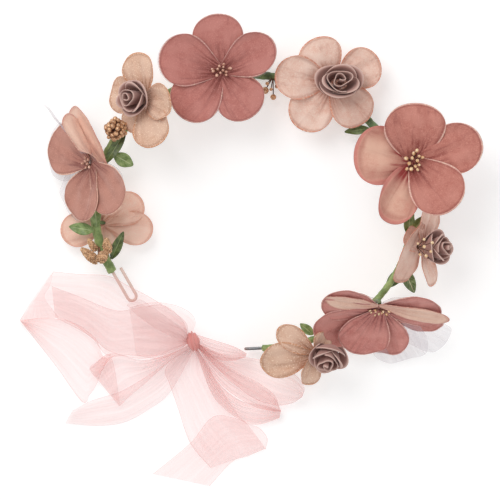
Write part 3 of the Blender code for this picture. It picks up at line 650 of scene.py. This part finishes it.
smallFlowers = {
    "blossom_top": dict(
        lean=10, to=0, face="peachFace", under="peachUnder", seed=41,
            rose=dict(lean=14, to=70, turn=200, stretch=(1.32, 0.98)),
        petals=[
            petal(117, 28, 27, (20, 10, -4), lay=0.4, shift=(-3, 0, 0)),
            petal(29, 28, 25, (20, 12, 2), lay=0.8, cup=(20, 30)),
            petal(-52, 31, 26, (14, 6, -8), lay=1.5, crease=1.6, shift=(-3, 0, 0)),
            petal(-128, 34, 27, (12, 4, -8), lay=1.1, shift=(-3, 0, 0)),
            petal(174, 36, 26, (16, 12, 4), cup=(24, 26), lay=0.9, shift=(-3, 0, 0))]),
    "blossom_left": dict(
        lean=36, to=180, face="orangeFace", under="peachUnder", seed=53,
            rose=dict(lean=38, to=184, turn=200, stretch=(1.0, 1.0)),
        petals=[
            petal(96, 27, 22, (14, 6, 0), lay=0.5, cup=(30, 20)), petal(172, 24, 22, (10, 6, 0), lay=0.2),
            petal(-112, 22, 20, (8, 4, -4), lay=0.6),
            petal(-60, 32, 27, (14, 10, 0), cup=(24, 30), lay=1.6, wave=1.8),
            petal(-8, 27, 22, (24, 16, 4), cup=(30, 30), lay=1.0, wave=1.4)]),
    "blossom_back": dict(
        # its face is the peach painted brighter against the shade it lies in
        lean=4, to=-90, face="backPeach", under="peachFace", seed=61, rose=None,
        petals=[
            petal(32, 26, 20, (8, 2, -4), lay=1.6), petal(-10, 29, 20, (8, 4, -4), lay=0.8, cup=(16, 8)),
            petal(-72, 16, 16, (6, 2, -4), lay=0.2), petal(-165, 26, 20, (6, 0, -6), lay=0.9),
            petal(120, 15, 16, (8, 2, -4), lay=0.1)]),
    "blossom_right": dict(
        lean=62, to=0, face="peachFace", under="peachUnder", seed=71,
            rose=dict(lean=56, to=6, turn=120, stretch=(1.0, 0.95)),
        petals=[
            petal(10, 20, 20, (-8, -10, -14), lay=0.2), petal(-70, 24, 16, (4, 8, 6), lay=0.8, cup=(10, 26)),
            petal(-106, 38, 25, (-18, -20, -18), cup=(14, 22), lay=3.4, wave=0.5, shift=(-1.5, 15, 5)),
            petal(150, 17, 16, (-10, -14, -16), lay=0.6), petal(84, 26, 24, (10, 12, 8), lay=0.9)]),
    "blossom_front": dict(
        lean=48, to=-15, face="orangeFace", under="peachUnder", seed=83,
            rose=dict(lean=50, to=-100, turn=10, stretch=(1.05, 1.0)),
        petals=[
            petal(-15, 14, 16, (-8, -12, -16), lay=0.4), petal(-100, 19, 18, (-6, -4, -4), lay=0.6),
            petal(192, 33, 22, (-26, -34, -40), cup=(16, 16), lay=1.2, wave=1.2),
            petal(146, 28, 15, (-22, -28, -34), cup=(16, 16), lay=0.9),
            petal(62, 14, 15, (10, 4, -4), lay=0.2)]),
}


def addStrip(bm, columns, rows, shape, slot=0):
    # A grid whose point at (s, v) goes to shape(s, v), in metres, with its shape map.
    made = bmesh.ops.create_grid(bm, x_segments=columns, y_segments=rows, size=0.5)["verts"]
    shapeLayer = bm.loops.layers.uv.get("shape")
    for face in {f for v in made for f in v.link_faces}:
        face.material_index = slot
        for loop in face.loops:
            loop[shapeLayer].uv = (loop.vert.co.x + 0.5, loop.vert.co.y + 0.5)
    for vert in made:
        vert.co = shape(vert.co.x + 0.5, vert.co.y + 0.5)
    return made


def foamRose(name, centre, radius, tilt, body, node, seed):
    # A rose rolled from one strip of thin foam, with rounded petals wrapped round it.
    rng = random.Random(seed)
    turn = leanTurn(tilt["lean"], tilt["to"]) @ Matrix.Rotation(radians(tilt["turn"]), 3, "Z")
    bm = bmesh.new()
    bm.loops.layers.uv.new("shape")
    rounds, tight, loose = 2.25, 0.08, 0.64

    def placed(local):
        away = turn @ local
        return centre + Vector((away.x * tilt["stretch"][0], away.y * tilt["stretch"][1], away.z))

    def spiral(s, v):
        angle = s * rounds * 2 * pi
        r = radius * (tight + (loose - tight) * s ** 0.9) * (1 + 0.15 * cos(3 * angle / 1.12) + 0.07 * sin(2 * angle))
        top = radius * (0.80 - 0.34 * s ** 1.6 + 0.05 * sin(angle * 1.5))
        r *= 0.82 + 0.18 * v + 0.10 * max(0, v - 0.75) * 4 * s
        return placed(Vector((cos(angle) * r, sin(angle) * r, -radius * 0.45 + (top + radius * 0.45) * v)))

    addStrip(bm, 84, 5, spiral)
    wraps = [(0, 0.70, 150, 0.60), (118, 0.76, 150, 0.52), (236, 0.80, 150, 0.46), (60, 0.92, 170, 0.22),
             (200, 0.97, 180, 0.14), (310, 1.0, 150, 0.02)]
    for middle, out, width, top in wraps:
        lift = rng.uniform(-0.03, 0.03)

        def wrap(s, v, middle=middle, out=out, width=width, top=top, lift=lift):
            side = 2 * s - 1
            angle = radians(middle + side * width / 2)
            crown = (1 - abs(side) ** 1.7)
            rise = (top + lift + 0.62) * (0.35 + 0.65 * crown)
            r = radius * out * (0.52 + 0.48 * sin(min(1, v * 1.15) * pi / 2)) * (1 - 0.06 * abs(side))
            z = radius * (-0.62 + rise * min(v, 0.9) / 0.9)
            if v > 0.8:  # the rim rolls outward
                r += radius * 0.16 * (v - 0.8) * 5 * crown ** 2
                z -= radius * 0.05 * ((v - 0.8) * 5) ** 2 * crown
            return placed(Vector((cos(angle) * r, sin(angle) * r, z)))

        addStrip(bm, 16, 8, wrap)
    return finishMesh(bm, name, [roseFoam], body, [node], wall=0.055 * radius, subdivide=1)


for name, flower in smallFlowers.items():
    base, turn = flowerBase(name + "_petals", flower["lean"], flower["to"]), leanTurn(flower["lean"], flower["to"])
    petalLayer(name + "_cloth", base, turn, flower["petals"], [cloth[flower["face"]], cloth[flower["under"]]], "crown",
               name + "_petals", flower["seed"], drop=-0.8)
    if flower["rose"]:
        low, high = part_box(name + "_rose")
        foamRose(name + "_rolled_rose", (low + high) / 2, (high.y - low.y) / 2, flower["rose"], "crown", name + "_rose",
                 flower["seed"])
print("small flowers and roses made")


hoop = dict(length=0.1834, width=0.1582, turn=-5.1, wave=0.0085, peak=160.0, lowest=0.0022)
tapes = {
    "tape_left": dict(start=212.5, end=121.4, radius=2.7, pitch=6.0, colour=tapeGreen),
    "tape_top": dict(start=121.0, end=28.9, radius=2.3, pitch=5.5, colour=tapeDark),
    "tape_right": dict(start=28.5, end=-82.6, radius=1.95, pitch=5.0, colour=tapeGreen),
}


def hoopPoint(angle):
    flat = Matrix.Rotation(radians(hoop["turn"]), 3, "Z") @ Vector(
        (hoop["length"] / 2 * cos(radians(angle)), hoop["width"] / 2 * sin(radians(angle)), 0))
    direction = degrees(atan2(flat.y, flat.x))
    flat.z = hoop["lowest"] + hoop["wave"] * (1 + cos(2 * radians(direction - hoop["peak"])))
    return flat


def woundTape(name, points, radius, pitch, material, body, replaced=(), seed=1, sides=14):
    # tape wound in a spiral: each turn's edge stands a little over the one before
    length = [0.0]
    for a, b in zip(points, points[1:]):
        length.append(length[-1] + (b - a).length)
    last = len(points) - 1
    bm = bmesh.new()
    for vert in bmesh.ops.create_grid(bm, x_segments=sides, y_segments=last, size=0.5)["verts"]:
        turned, i = 2 * pi * (vert.co.x + 0.5), round((vert.co.y + 0.5) * last)
        along = (points[min(i + 1, last)] - points[max(i - 1, 0)]).normalized()
        side = along.cross(Vector((0, 0, 1))).normalized()
        wound = (length[i] / (pitch * mm) + turned / (2 * pi)) % 1.0
        rough = noise.noise(Vector((length[i] * 600, cos(turned) * 1.5, sin(turned) * 1.5 + seed)))
        r = 0 if i in (0, last) else radius * mm * (0.92 + 0.13 * wound + 0.06 * rough)
        vert.co = points[i] + (side * cos(turned) + side.cross(along) * sin(turned)) * r
    bmesh.ops.remove_doubles(bm, verts=bm.verts, dist=0.01 * mm)
    bmesh.ops.recalc_face_normals(bm, faces=bm.faces)
    return finishMesh(bm, name, [material], body, replaced)


for name, tape in tapes.items():
    count = int((tape["start"] - tape["end"]) / 0.6)
    route = [hoopPoint(tape["start"] + (tape["end"] - tape["start"]) * i / count) for i in range(count + 1)]
    woundTape(name + "_wound", route, tape["radius"], tape["pitch"], tape["colour"], "crown", [name])


def repaint(node, material):
    mesh = nodes[node].data
    mesh.materials.clear()
    mesh.materials.append(material)


repaint("hoop_wire", wirePaper)
for node in nodes:
    if node.endswith("_stem"):
        repaint(node, tapeDark)
print("hoop, tape and stems done")


leaves = {
    "leaf_left_inner": dict(colour=leafGreen, width=9, curl=0.5),
    "leaf_left_long": dict(colour=leafDark, width=7, curl=0.3),
    "leaf_back_tall": dict(colour=leafGreen, width=7, curl=0.4),
    "leaf_back_outer": dict(colour=leafGreen, width=8, curl=0.4),
    "leaf_back_inner": dict(colour=leafDark, width=6.5, curl=0.4),
    "leaf_top": dict(colour=leafDark, width=6, curl=0.3),
    "leaf_right_tall": dict(colour=leafGreen, width=7, curl=0.4, twin=34),
    "leaf_right_low": dict(colour=leafCream, width=8, curl=0.4, twin=68),
    "leaf_front": dict(colour=leafGreen, width=6, curl=0.4),
}


def satinLeaf(name, node, spec):
    # A pointed blade folded along its midrib, laid along the CAD leaf's own axes.
    points = meshPoints(node)
    centre = points.mean(0)
    ways = np.linalg.svd(points - centre)[2]
    forward, across = Vector(ways[0]), Vector(ways[1])
    spans = (points - centre) @ ways.T
    low, high = spans[:, 0].min(), spans[:, 0].max()
    hoopWay = min((hoopPoint(a) for a in range(0, 360, 2)), key=lambda p: (p - Vector(centre)).length)
    if ((Vector(centre) + forward * high) - hoopWay).length < ((Vector(centre) + forward * low) - hoopWay).length:
        forward, low, high = -forward, -high, -low
    normal = forward.cross(across)
    if normal.z < 0:
        across = -across
        normal = -normal
    length, seed = (high - low) * 1.12, len(name)
    start = Vector(centre) + forward * low
    bm = bmesh.new()
    bm.loops.layers.uv.new("shape")

    def blade(s, v):
        half = spec["width"] * mm / 2 * (0.10 + 0.90 * sin(pi * min(1.0, v * 0.97 + 0.01)) ** 0.75) * (1 - 0.35 * v ** 2)
        if v > 0.98:
            half *= 0.3
        side = (2 * s - 1)
        up = 0.34 * abs(side) * half - spec["curl"] * 0.25 * length * v * v
        up += 0.3 * mm * sin(v * 16 + seed) * abs(side) + 0.5 * mm * noise.noise(Vector((v * 3, side, seed)))
        return start + forward * length * v - across * side * half + normal * up

    addStrip(bm, 9, 16, blade)
    if "twin" in spec:
        other = addStrip(bm, 9, 16, blade)
        bmesh.ops.rotate(bm, verts=other, cent=start, matrix=Matrix.Rotation(radians(-spec["twin"]), 3, "Z"))
        bmesh.ops.translate(bm, verts=other, vec=(1.0 * mm, 0, 0.8 * mm))
    bmesh.ops.recalc_face_normals(bm, faces=bm.faces)
    return finishMesh(bm, name, [spec["colour"]], "crown", [node], wall=0.35 * mm, subdivide=1)


for node, spec in leaves.items():
    satinLeaf(node.replace("leaf", "satin"), node, spec)
print("leaves made")


def addBead(bm, place, radius, subdivisions=2, slot=0, stretch=None):
    matrix = Matrix.Translation(place)
    if stretch is not None:
        matrix = matrix @ stretch
    made = bmesh.ops.create_icosphere(bm, subdivisions=subdivisions, radius=radius, matrix=matrix)
    for face in {f for v in made["verts"] for f in v.link_faces}:
        face.material_index = slot


def addStalk(bm, a, b, radius, slot=0):
    way = b - a
    place = Matrix.Translation((a + b) / 2) @ Vector((0, 0, 1)).rotation_difference(way).to_matrix().to_4x4()
    made = bmesh.ops.create_cone(bm, cap_ends=True, segments=7, radius1=radius, radius2=radius * 0.85, depth=way.length,
                                 matrix=place)
    for face in {f for v in made["verts"] for f in v.link_faces}:
        face.material_index = slot


def nearestHoop(point):
    return min((hoopPoint(a) for a in range(0, 360, 1)), key=lambda p: (p - point).length)


def berryCluster(node, count, size, seed):
    # A tight round head of painted berries on one stalk.
    rng = random.Random(seed)
    low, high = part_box(node)
    centre = (low + high) / 2
    reach = min(high - low) / 2
    root = nearestHoop(centre)
    centre = centre.lerp(root, 0.62) + Vector((0, 0, 4 * mm))
    bm = bmesh.new()
    addStalk(bm, root, centre, 0.7 * mm, 1)
    for i in range(count):
        z = 1 - 2 * (i + 0.5) / count
        around = i * goldenTurn
        flat = sqrt(1 - z * z)
        way = Vector((cos(around) * flat, sin(around) * flat, z))
        out = reach * rng.uniform(0.74, 1.0)
        addBead(bm, centre + way * out, size * rng.uniform(0.85, 1.15) * mm)
        addStalk(bm, centre, centre + way * out, 0.3 * mm, 1)
    return finishMesh(bm, node.replace("cluster", "head"), [goldPaint, threadBrown], "crown", [node])


def grainBuds(name, node, buds, grain, seed):
    # slender buds crusted with glitter grains; a bud is
    # (offset from the middle of the node in mm, heading, pitch, length, radius)
    rng = random.Random(seed)
    low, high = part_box(node)
    centre = (low + high) / 2
    root = nearestHoop(centre)
    bm = bmesh.new()
    for offset, heading, pitch, length, radius in buds:
        middle = centre + Vector(offset) * mm
        way = Vector((cos(radians(heading)) * cos(radians(pitch)), sin(radians(heading)) * cos(radians(pitch)),
                      sin(radians(pitch))))
        turn = Vector((0, 0, 1)).rotation_difference(way).to_matrix()
        foot = middle - way * length / 2 * mm
        addStalk(bm, root, foot, 0.6 * mm, 1)
        stretch = turn.to_4x4() @ Matrix.Diagonal((1, 1, length / 2 / radius, 1))
        addBead(bm, middle, radius * 0.86 * mm, 3, 0, stretch)
        total = int(length * radius * 4.2)
        for i in range(total):
            t = (i + 0.5) / total
            r = radius * sin(pi * min(0.97, 0.08 + 0.9 * t)) ** 0.6 * (1.05 - 0.35 * t)
            around = i * goldenTurn
            spot = Vector((cos(around) * r, sin(around) * r, (t - 0.5) * length))
            addBead(bm, middle + turn @ (spot * mm), grain * rng.uniform(0.8, 1.2) * mm, 1)
    return finishMesh(bm, name, [budPaint, threadBrown], "crown", [node])


def beadSpray(name, node, beads, root, colour=None, stalk=0.35):
    # Separate round beads on bare threads; each bead is (place in the node's box, radius).
    low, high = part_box(node)
    span = high - low
    bm = bmesh.new()
    for place, radius in beads:
        spot = Vector([low[i] + span[i] * place[i] for i in range(3)])
        knee = root.lerp(spot, 0.6) + Vector((0, 0, 1.2 * mm))
        addStalk(bm, root, knee, stalk * mm, 1)
        addStalk(bm, knee, spot, stalk * mm, 1)
        addBead(bm, spot, radius * mm, 2)
    return finishMesh(bm, name, [colour or goldPaint, threadDark], "crown", [node])


berryCluster("berry_cluster_left", 46, 1.35, 5)
grainBuds("glitter_cones_left", "glitter_buds_left",
          [((4.6, -4.4, 0), 140, 8, 12.5, 2.9), ((6.0, 1.6, 0), 124, 12, 8, 1.9),
           ((14.8, 1.2, 3), 98, 20, 9.5, 2.6), ((12.2, -5.0, 3), 58, 10, 7.6, 3.1)], 0.62, 7)
low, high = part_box("berry_twig_top")
beadSpray("berry_sprig_top", "berry_twig_top",
          [((0.2, 0.5, 0.5), 2.2), ((0.62, 0.16, 0.6), 1.8), ((0.8, 0.7, 0.7), 1.2), ((0.3, 0.85, 0.6), 1.1),
           ((0.5, 0.55, 0.9), 1.0)], nearestHoop((low + high) / 2))
low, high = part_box("bead_twig_front")
beadSpray("bead_sprig_front", "bead_twig_front",
          [((0.15, 0.35, 0.3), 1.8), ((0.42, 0.12, 0.35), 1.7), ((0.75, 0.2, 0.5), 1.5), ((0.55, 0.5, 0.7), 1.4),
           ((0.9, 0.55, 0.7), 1.5), ((0.3, 0.7, 0.6), 1.1),
               ((0.85, 0.85, 0.9), 1.3)], nearestHoop((low + high) / 2),
          colour=pearlGold)
low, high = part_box("bead_twig_right")
beadSpray("bead_sprig_right", "bead_twig_right",
          [((0.35, 0.86, 0.9), 0.9), ((0.75, 0.70, 1.0), 1.0), ((0.35, 0.52, 0.95), 1.0), ((0.68, 0.30, 0.95), 0.9),
           ((0.15, 0.16, 0.80), 0.9), ((0.45, 0.10, 0.85), 1.0), ((0.05, 0.66, 0.7), 0.8)],
          Vector((low.x, (low.y + high.y) / 2, low.z + 2 * mm)), colour=pearlGold, stalk=0.25)
print("sprays made")


def smoothLine(points, count):
    # Evenly spread places on a smooth curve through the points.
    points = [Vector(p) for p in points]
    ends = [2 * points[0] - points[1], *points, 2 * points[-1] - points[-2]]
    dense = []
    for i in range(1, len(ends) - 2):
        p0, p1, p2, p3 = ends[i - 1:i + 3]
        for k in range(12):
            t = k / 12
            dense.append(0.5 * ((2 * p1) + (p2 - p0) * t + (2 * p0 - 5 * p1 + 4 * p2 - p3) * t * t
                                + (3 * p1 - p0 - 3 * p2 + p3) * t ** 3))
    dense.append(points[-1])
    run = [0.0]
    for a, b in zip(dense, dense[1:]):
        run.append(run[-1] + (b - a).length)
    placed, j = [], 0
    for i in range(count):
        want = run[-1] * i / (count - 1)
        while j < len(run) - 2 and run[j + 1] < want:
            j += 1
        f = (want - run[j]) / max(run[j + 1] - run[j], 1e-9)
        placed.append(dense[j].lerp(dense[j + 1], min(1.0, f)))
    return placed


low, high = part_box("bow_knot")
knot = Vector(((low.x + high.x) / 2, (low.y + high.y) / 2, 0))
ribbonCloth = dict(width=38.0, columns=44, rows=60, narrowest=4.5, gathering=0.52, crumple=0.9, patch=16, clear=0.4)
# a and b are the two woven edges of a stretch, as points in mm from the foot of the knot
ribbons = {
    "bow_sheer_left_back": dict(
        node="bow_loop_left_upper", pleats=5,
        a=[(-3, 3, 8), (-5, 12, 12), (-22, 24, 14), (-37, 32, 15), (-49, 38, 14), (-66, 39, 8), (-81, 40.5, 5)],
        b=[(-3, -1, 7), (-10, -4, 9), (-29, -10, 8), (-48, -6, 7), (-58, 1.5, 6), (-76, 13, 5), (-100.5, 12, 3)]),
    "bow_sheer_left_front": dict(
        node="bow_loop_left_upper", pleats=6,
        a=[(-3, 3, 8), (-6, 12, 11), (-17, 21, 13), (-30, 20, 12), (-45, 18, 10), (-66, 26, 8), (-82, 32, 6)],
        b=[(-3, -1, 7), (-9, -6, 7), (-20, -10, 6), (-36, -8, 6), (-50, -8, 6), (-60, 3, 6), (-80, 14, 4)]),
    "bow_sheer_left_fold": dict(
        node="bow_loop_left_upper", pleats=1, layers=1.0,
        a=[(-81, 40.5, 4), (-83, 32, 4), (-86, 25, 4), (-78, 14, 4)],
        b=[(-83, 39, 3), (-90, 29, 3), (-96, 20, 3), (-100.5, 12, 3)]),
    "bow_sheer_left_lower": dict(
        node="bow_loop_left_lower", pleats=2,
        a=[(-45, -8, 3), (-52, -9, 3), (-57, 2, 3), (-70, 11, 3), (-86, 13.5, 3), (-100.5, 12, 3)],
        b=[(-51, -12, 1), (-56, -25, 1.5), (-60, -31, 1), (-64.6, -35, 0.8), (-80, -14, 1), (-100.5, 12, 2)]),
    "bow_sheer_top": dict(
        node="bow_loop_top", pleats=4, layers=0.9,
        a=[(-1, 4, 8), (1.5, 11, 10), (-2, 17, 12), (-12, 21.5, 13), (-25, 22.5, 12), (-37, 19.5, 10)],
        b=[(-2, 0, 8), (-6, -3, 9), (-12, -6, 9), (-19, -8, 9), (-26, -8.5, 9), (-33, -8, 8)]),
    "bow_sheer_right_outer": dict(
        node="bow_loop_right_outer", pleats=5,
        a=[(3, -1, 5), (18, -8, 7), (33, -9.5, 9), (48, -13, 11), (60, -20, 9), (64.5, -27, 7), (63.5, -31.5, 5)],
        b=[(3, -4, 4), (12, -14, 4), (23, -24, 4), (35, -33, 4), (47, -37, 4), (57, -36, 4), (63, -32.5, 5)]),
    "bow_sheer_right_return": dict(
        node="bow_loop_right_outer", pleats=4,
        a=[(3, -1, 7), (15, -11, 8), (26, -18, 8), (38, -24, 8), (47, -31, 8), (50, -38, 6)],
        b=[(3, -4, 5), (12, -20, 5), (22, -30, 4.5), (36, -38, 4), (46, -40.5, 4), (51, -40.5, 4)]),
    "bow_sheer_right_inner": dict(
        node="bow_loop_right_inner", pleats=4,
        a=[(2, -3, 6), (14, -23, 6), (27, -34, 6), (41, -37, 6), (51, -40, 4)],
        b=[(1, -4, 4), (10, -29, 3), (18, -39, 2.5), (30, -47, 2), (39, -48, 2), (50, -44.5, 2)]),
    "tail_sheer_left": dict(
        node="ribbon_tail_left", pleats=4, layers=1.1,
        a=[(-1, -3, 4), (-15, -12, 4), (-25, -19, 4), (-42, -29, 3), (-58, -34, 2), (-70, -40, 1.5)],
        b=[(1, -4, 3), (-13, -29, 3), (-25, -39, 2.5), (-40, -47, 2), (-56, -49, 1.2), (-74.5, -47.6, 0.8)]),
    "tail_sheer_short": dict(
        node="ribbon_tail_short", pleats=4,
        a=[(-3, -2, 6), (-11, -6, 7), (-29, -11, 7), (-48, -7, 6), (-60, -16, 5)],
        b=[(-2, -4, 5), (-15, -13, 5), (-28, -24.5, 4), (-36, -31, 3), (-42.5, -37.5, 2.5)]),
    "tail_sheer_short_fold": dict(
        node="ribbon_tail_short", pleats=1, layers=1.4,
        a=[(-48, -7, 5.5), (-46, -14, 5.5), (-44.5, -22, 4.5), (-42.5, -37.5, 3)],
        b=[(-55, -11, 5), (-60, -16, 4.5), (-54, -24, 4), (-43, -37.5, 2.5)]),
    "tail_sheer_long": dict(
        node="ribbon_tail_long", pleats=5,
        a=[(-2, -4, 4), (-11, -10, 4), (-16.5, -17, 4), (-14, -24, 3.5), (-8.5, -40, 3), (-1.8, -59, 2),
            (10, -73.5, 1.5)],
        b=[(2, -4, 5), (8, -13, 5), (14, -24, 5), (28, -45, 4.5), (38, -50, 4), (43, -56, 4), (42, -62.5, 2)]),
    "tail_sheer_long_end": dict(
        node="ribbon_tail_long", pleats=1,
        a=[(30, -46, 2.5), (12, -43.5, 2.5), (-1.8, -59, 1.5), (-23.5, -77, 0.8)],
        b=[(42, -62, 2), (32, -66.5, 1.5), (22.5, -70, 1), (9.5, -84, 0.8)]),
    "band_sheer_left": dict(
        node="ribbon_band_left", pleats=5, layers=1.1,
        a=[(-2, 3.5, 9), (-13, 12.5, 10), (-23, 19.5, 10), (-30, 24, 10), (-36, 23.5, 10)],
        b=[(-3, -1, 8), (-13, 3, 8), (-24, 9, 9), (-34, 16.5, 9), (-38.5, 21, 9)]),
    "band_sheer_right": dict(
        node="ribbon_band_right", pleats=5,
        a=[(2, 4, 8), (10, 1.5, 9), (18, -1.0, 8), (25, -3.5, 7.5), (31, -7, 7)],
        b=[(2, -4, 7), (8, -8.5, 7), (16, -11, 7), (24, -11, 7), (30.5, -9, 7)]),
}


def ribbonSheet(name, spec, seed):
    # a stretch of ribbon between its two woven edges, pleated to its full width wherever it is drawn in
    ribbonWidth, rows = ribbonCloth["width"], ribbonCloth["rows"]
    edgeA, edgeB = smoothLine(spec["a"], rows), smoothLine(spec["b"], rows)
    length = sum((q - p).length for edge in (edgeA, edgeB) for p, q in zip(edge, edge[1:])) / 2
    bm = bmesh.new()
    shapeLayer, flatLayer = bm.loops.layers.uv.new("shape"), bm.loops.layers.uv.new("flat")
    gather = bm.verts.layers.float.new("gather")
    made = bmesh.ops.create_grid(bm, x_segments=ribbonCloth["columns"], y_segments=rows - 1, size=0.5)["verts"]
    for face in bm.faces:
        for loop in face.loops:
            s, v = loop.vert.co.x + 0.5, loop.vert.co.y + 0.5
            loop[shapeLayer].uv = (s, v)
            loop[flatLayer].uv = (s * ribbonWidth / 10, v * length / 10)
    folded = spec["pleats"] == 1  # a folded corner shows less than the ribbon's width
    for vert in made:
        s, v = vert.co.x + 0.5, vert.co.y + 0.5
        i = round(v * (rows - 1))
        a, b = edgeA[i], edgeB[i]
        width = (b - a).length
        squeeze = ribbonWidth / max(width, ribbonCloth["narrowest"])
        vert[gather] = spec.get("layers", squeeze ** ribbonCloth["gathering"])
        point = a.lerp(b, s)
        deep = 0.0 if folded else sqrt(max(ribbonWidth ** 2 - width ** 2, 0.0)) / (4 * spec["pleats"])
        drift = s + 0.025 * sin(v * 7 + seed) * sin(pi * s)  # pleats wander and differ in depth
        point.z += deep * sin(2 * pi * spec["pleats"] * drift + seed) * (0.85 + 0.3 * sin(s * 11 + seed * 2))
        crumple = noise.noise(Vector((point.x / ribbonCloth["patch"], point.y / ribbonCloth["patch"], seed * 3.7)))
        point.z += ribbonCloth["crumple"] * crumple
        point.z = max(point.z, ribbonCloth["clear"] + 0.25 * abs(sin(2 * pi * spec["pleats"] * drift)))
        vert.co = knot + point * mm
    area = sum(f.calc_area() for f in bm.faces)
    piece = finishMesh(bm, name, [pinkOrganza], "bow", [spec["node"]])
    share = area / (ribbonWidth * length * mm * mm)
    print(name, round(length), "mm long, cloth", round(share, 2), "of its flat area")
    return piece


for i, (name, spec) in enumerate(ribbons.items()):
    ribbonSheet(name, spec, i + 1)


knotShape = dict(halfLength=0.0034, halfHeight=0.0056, turn=14, pleats=3.5)


def ribbonKnot():
    # the ribbon pulled tight over the bundle: a short barrel with deep pleats running over it
    height = high.z - low.z
    bm = bmesh.new()
    shapeLayer, flatLayer = bm.loops.layers.uv.new("shape"), bm.loops.layers.uv.new("flat")
    gather = bm.verts.layers.float.new("gather")
    made = bmesh.ops.create_grid(bm, x_segments=40, y_segments=48, size=0.5)["verts"]
    for face in bm.faces:
        for loop in face.loops:
            s, v = loop.vert.co.x + 0.5, loop.vert.co.y + 0.5
            loop[shapeLayer].uv = (0.2 + 0.6 * s, v)
            loop[flatLayer].uv = (s * 3.8, v * 3)
    turn = Matrix.Rotation(radians(knotShape["turn"]), 3, "Z")
    for vert in made:
        s, v = vert.co.x + 0.5, vert.co.y + 0.5
        around, side = v * 2 * pi, 2 * s - 1
        swell = sqrt(max(0.0, 1 - abs(side) ** 2.4))
        pleat = 1 + 0.10 * sin(side * pi * knotShape["pleats"] + 0.8 * sin(around)) * swell
        local = Vector((side * knotShape["halfLength"] * (1 + 0.15 * sin(around)),
                        cos(around) * knotShape["halfHeight"] * swell * pleat,
                        height / 2 * (1 + sin(around) * swell * pleat * 0.92) + 0.3 * mm))
        vert.co = knot + turn @ local
        vert[gather] = 4.0
    bmesh.ops.remove_doubles(bm, verts=bm.verts, dist=0.01 * mm)
    bmesh.ops.recalc_face_normals(bm, faces=bm.faces)
    return finishMesh(bm, "bow_tied_knot", [knotOrganza], "bow", ["bow_knot"])


ribbonKnot()
print("bow made")


studio = dict(field=0.290, aimX=-0.0016, aimY=-0.0223, lens=800.0, key=9.5, fill=2.6, sky=0.60,
              floor=0.72, floorGlow=0.40)


def addLight(name, energy, size, place, aim):
    light = bpy.data.lights.new(name, "AREA")
    light.energy = energy
    light.size = size
    obj = bpy.data.objects.new(name, light)
    obj.location = place
    obj.rotation_euler = (Vector(aim) - Vector(place)).to_track_quat("-Z", "Y").to_euler()
    bpy.context.scene.collection.objects.link(obj)


def makeStudio():
    bm = bmesh.new()
    bmesh.ops.create_grid(bm, x_segments=1, y_segments=1, size=3.0)
    mesh = bpy.data.meshes.new("floor")
    bm.to_mesh(mesh)
    bm.free()
    material, tree, shader = newMaterial("floorPaper", 0.9)
    shader.inputs["Base Color"].default_value = (*[studio["floor"]] * 3, 1)
    shader.inputs["Specular IOR Level"].default_value = 0.0
    shader.inputs["Emission Color"].default_value = (1, 1, 1, 1)
    shader.inputs["Emission Strength"].default_value = studio["floorGlow"]
    mesh.materials.append(material)
    floor = bpy.data.objects.new("floor", mesh)
    floor.location.z = -0.0004
    bpy.context.scene.collection.objects.link(floor)

    world = bpy.data.worlds.new("softSky")
    world.use_nodes = True
    background = world.node_tree.nodes["Background"]
    background.inputs["Color"].default_value = (1.0, 1.0, 1.0, 1)
    background.inputs["Strength"].default_value = studio["sky"]
    bpy.context.scene.world = world
    addLight("keyPanel", studio["key"], 0.9, (-0.55, 0.75, 1.15), (0, 0, 0))
    addLight("fillPanel", studio["fill"], 1.2, (0.9, -0.6, 0.9), (0, 0, 0))

    camera = bpy.data.cameras.new("camera")
    camera.lens = studio["lens"]
    camera.sensor_width = 36.0
    away = studio["field"] / (36.0 / studio["lens"])
    camera.clip_start, camera.clip_end = 0.1, away * 3
    obj = bpy.data.objects.new("camera", camera)
    obj.location = (studio["aimX"], studio["aimY"], away)
    bpy.context.scene.collection.objects.link(obj)
    bpy.context.scene.camera = obj
    bpy.context.scene.view_settings.view_transform = "Standard"


makeStudio()
print("studio made")
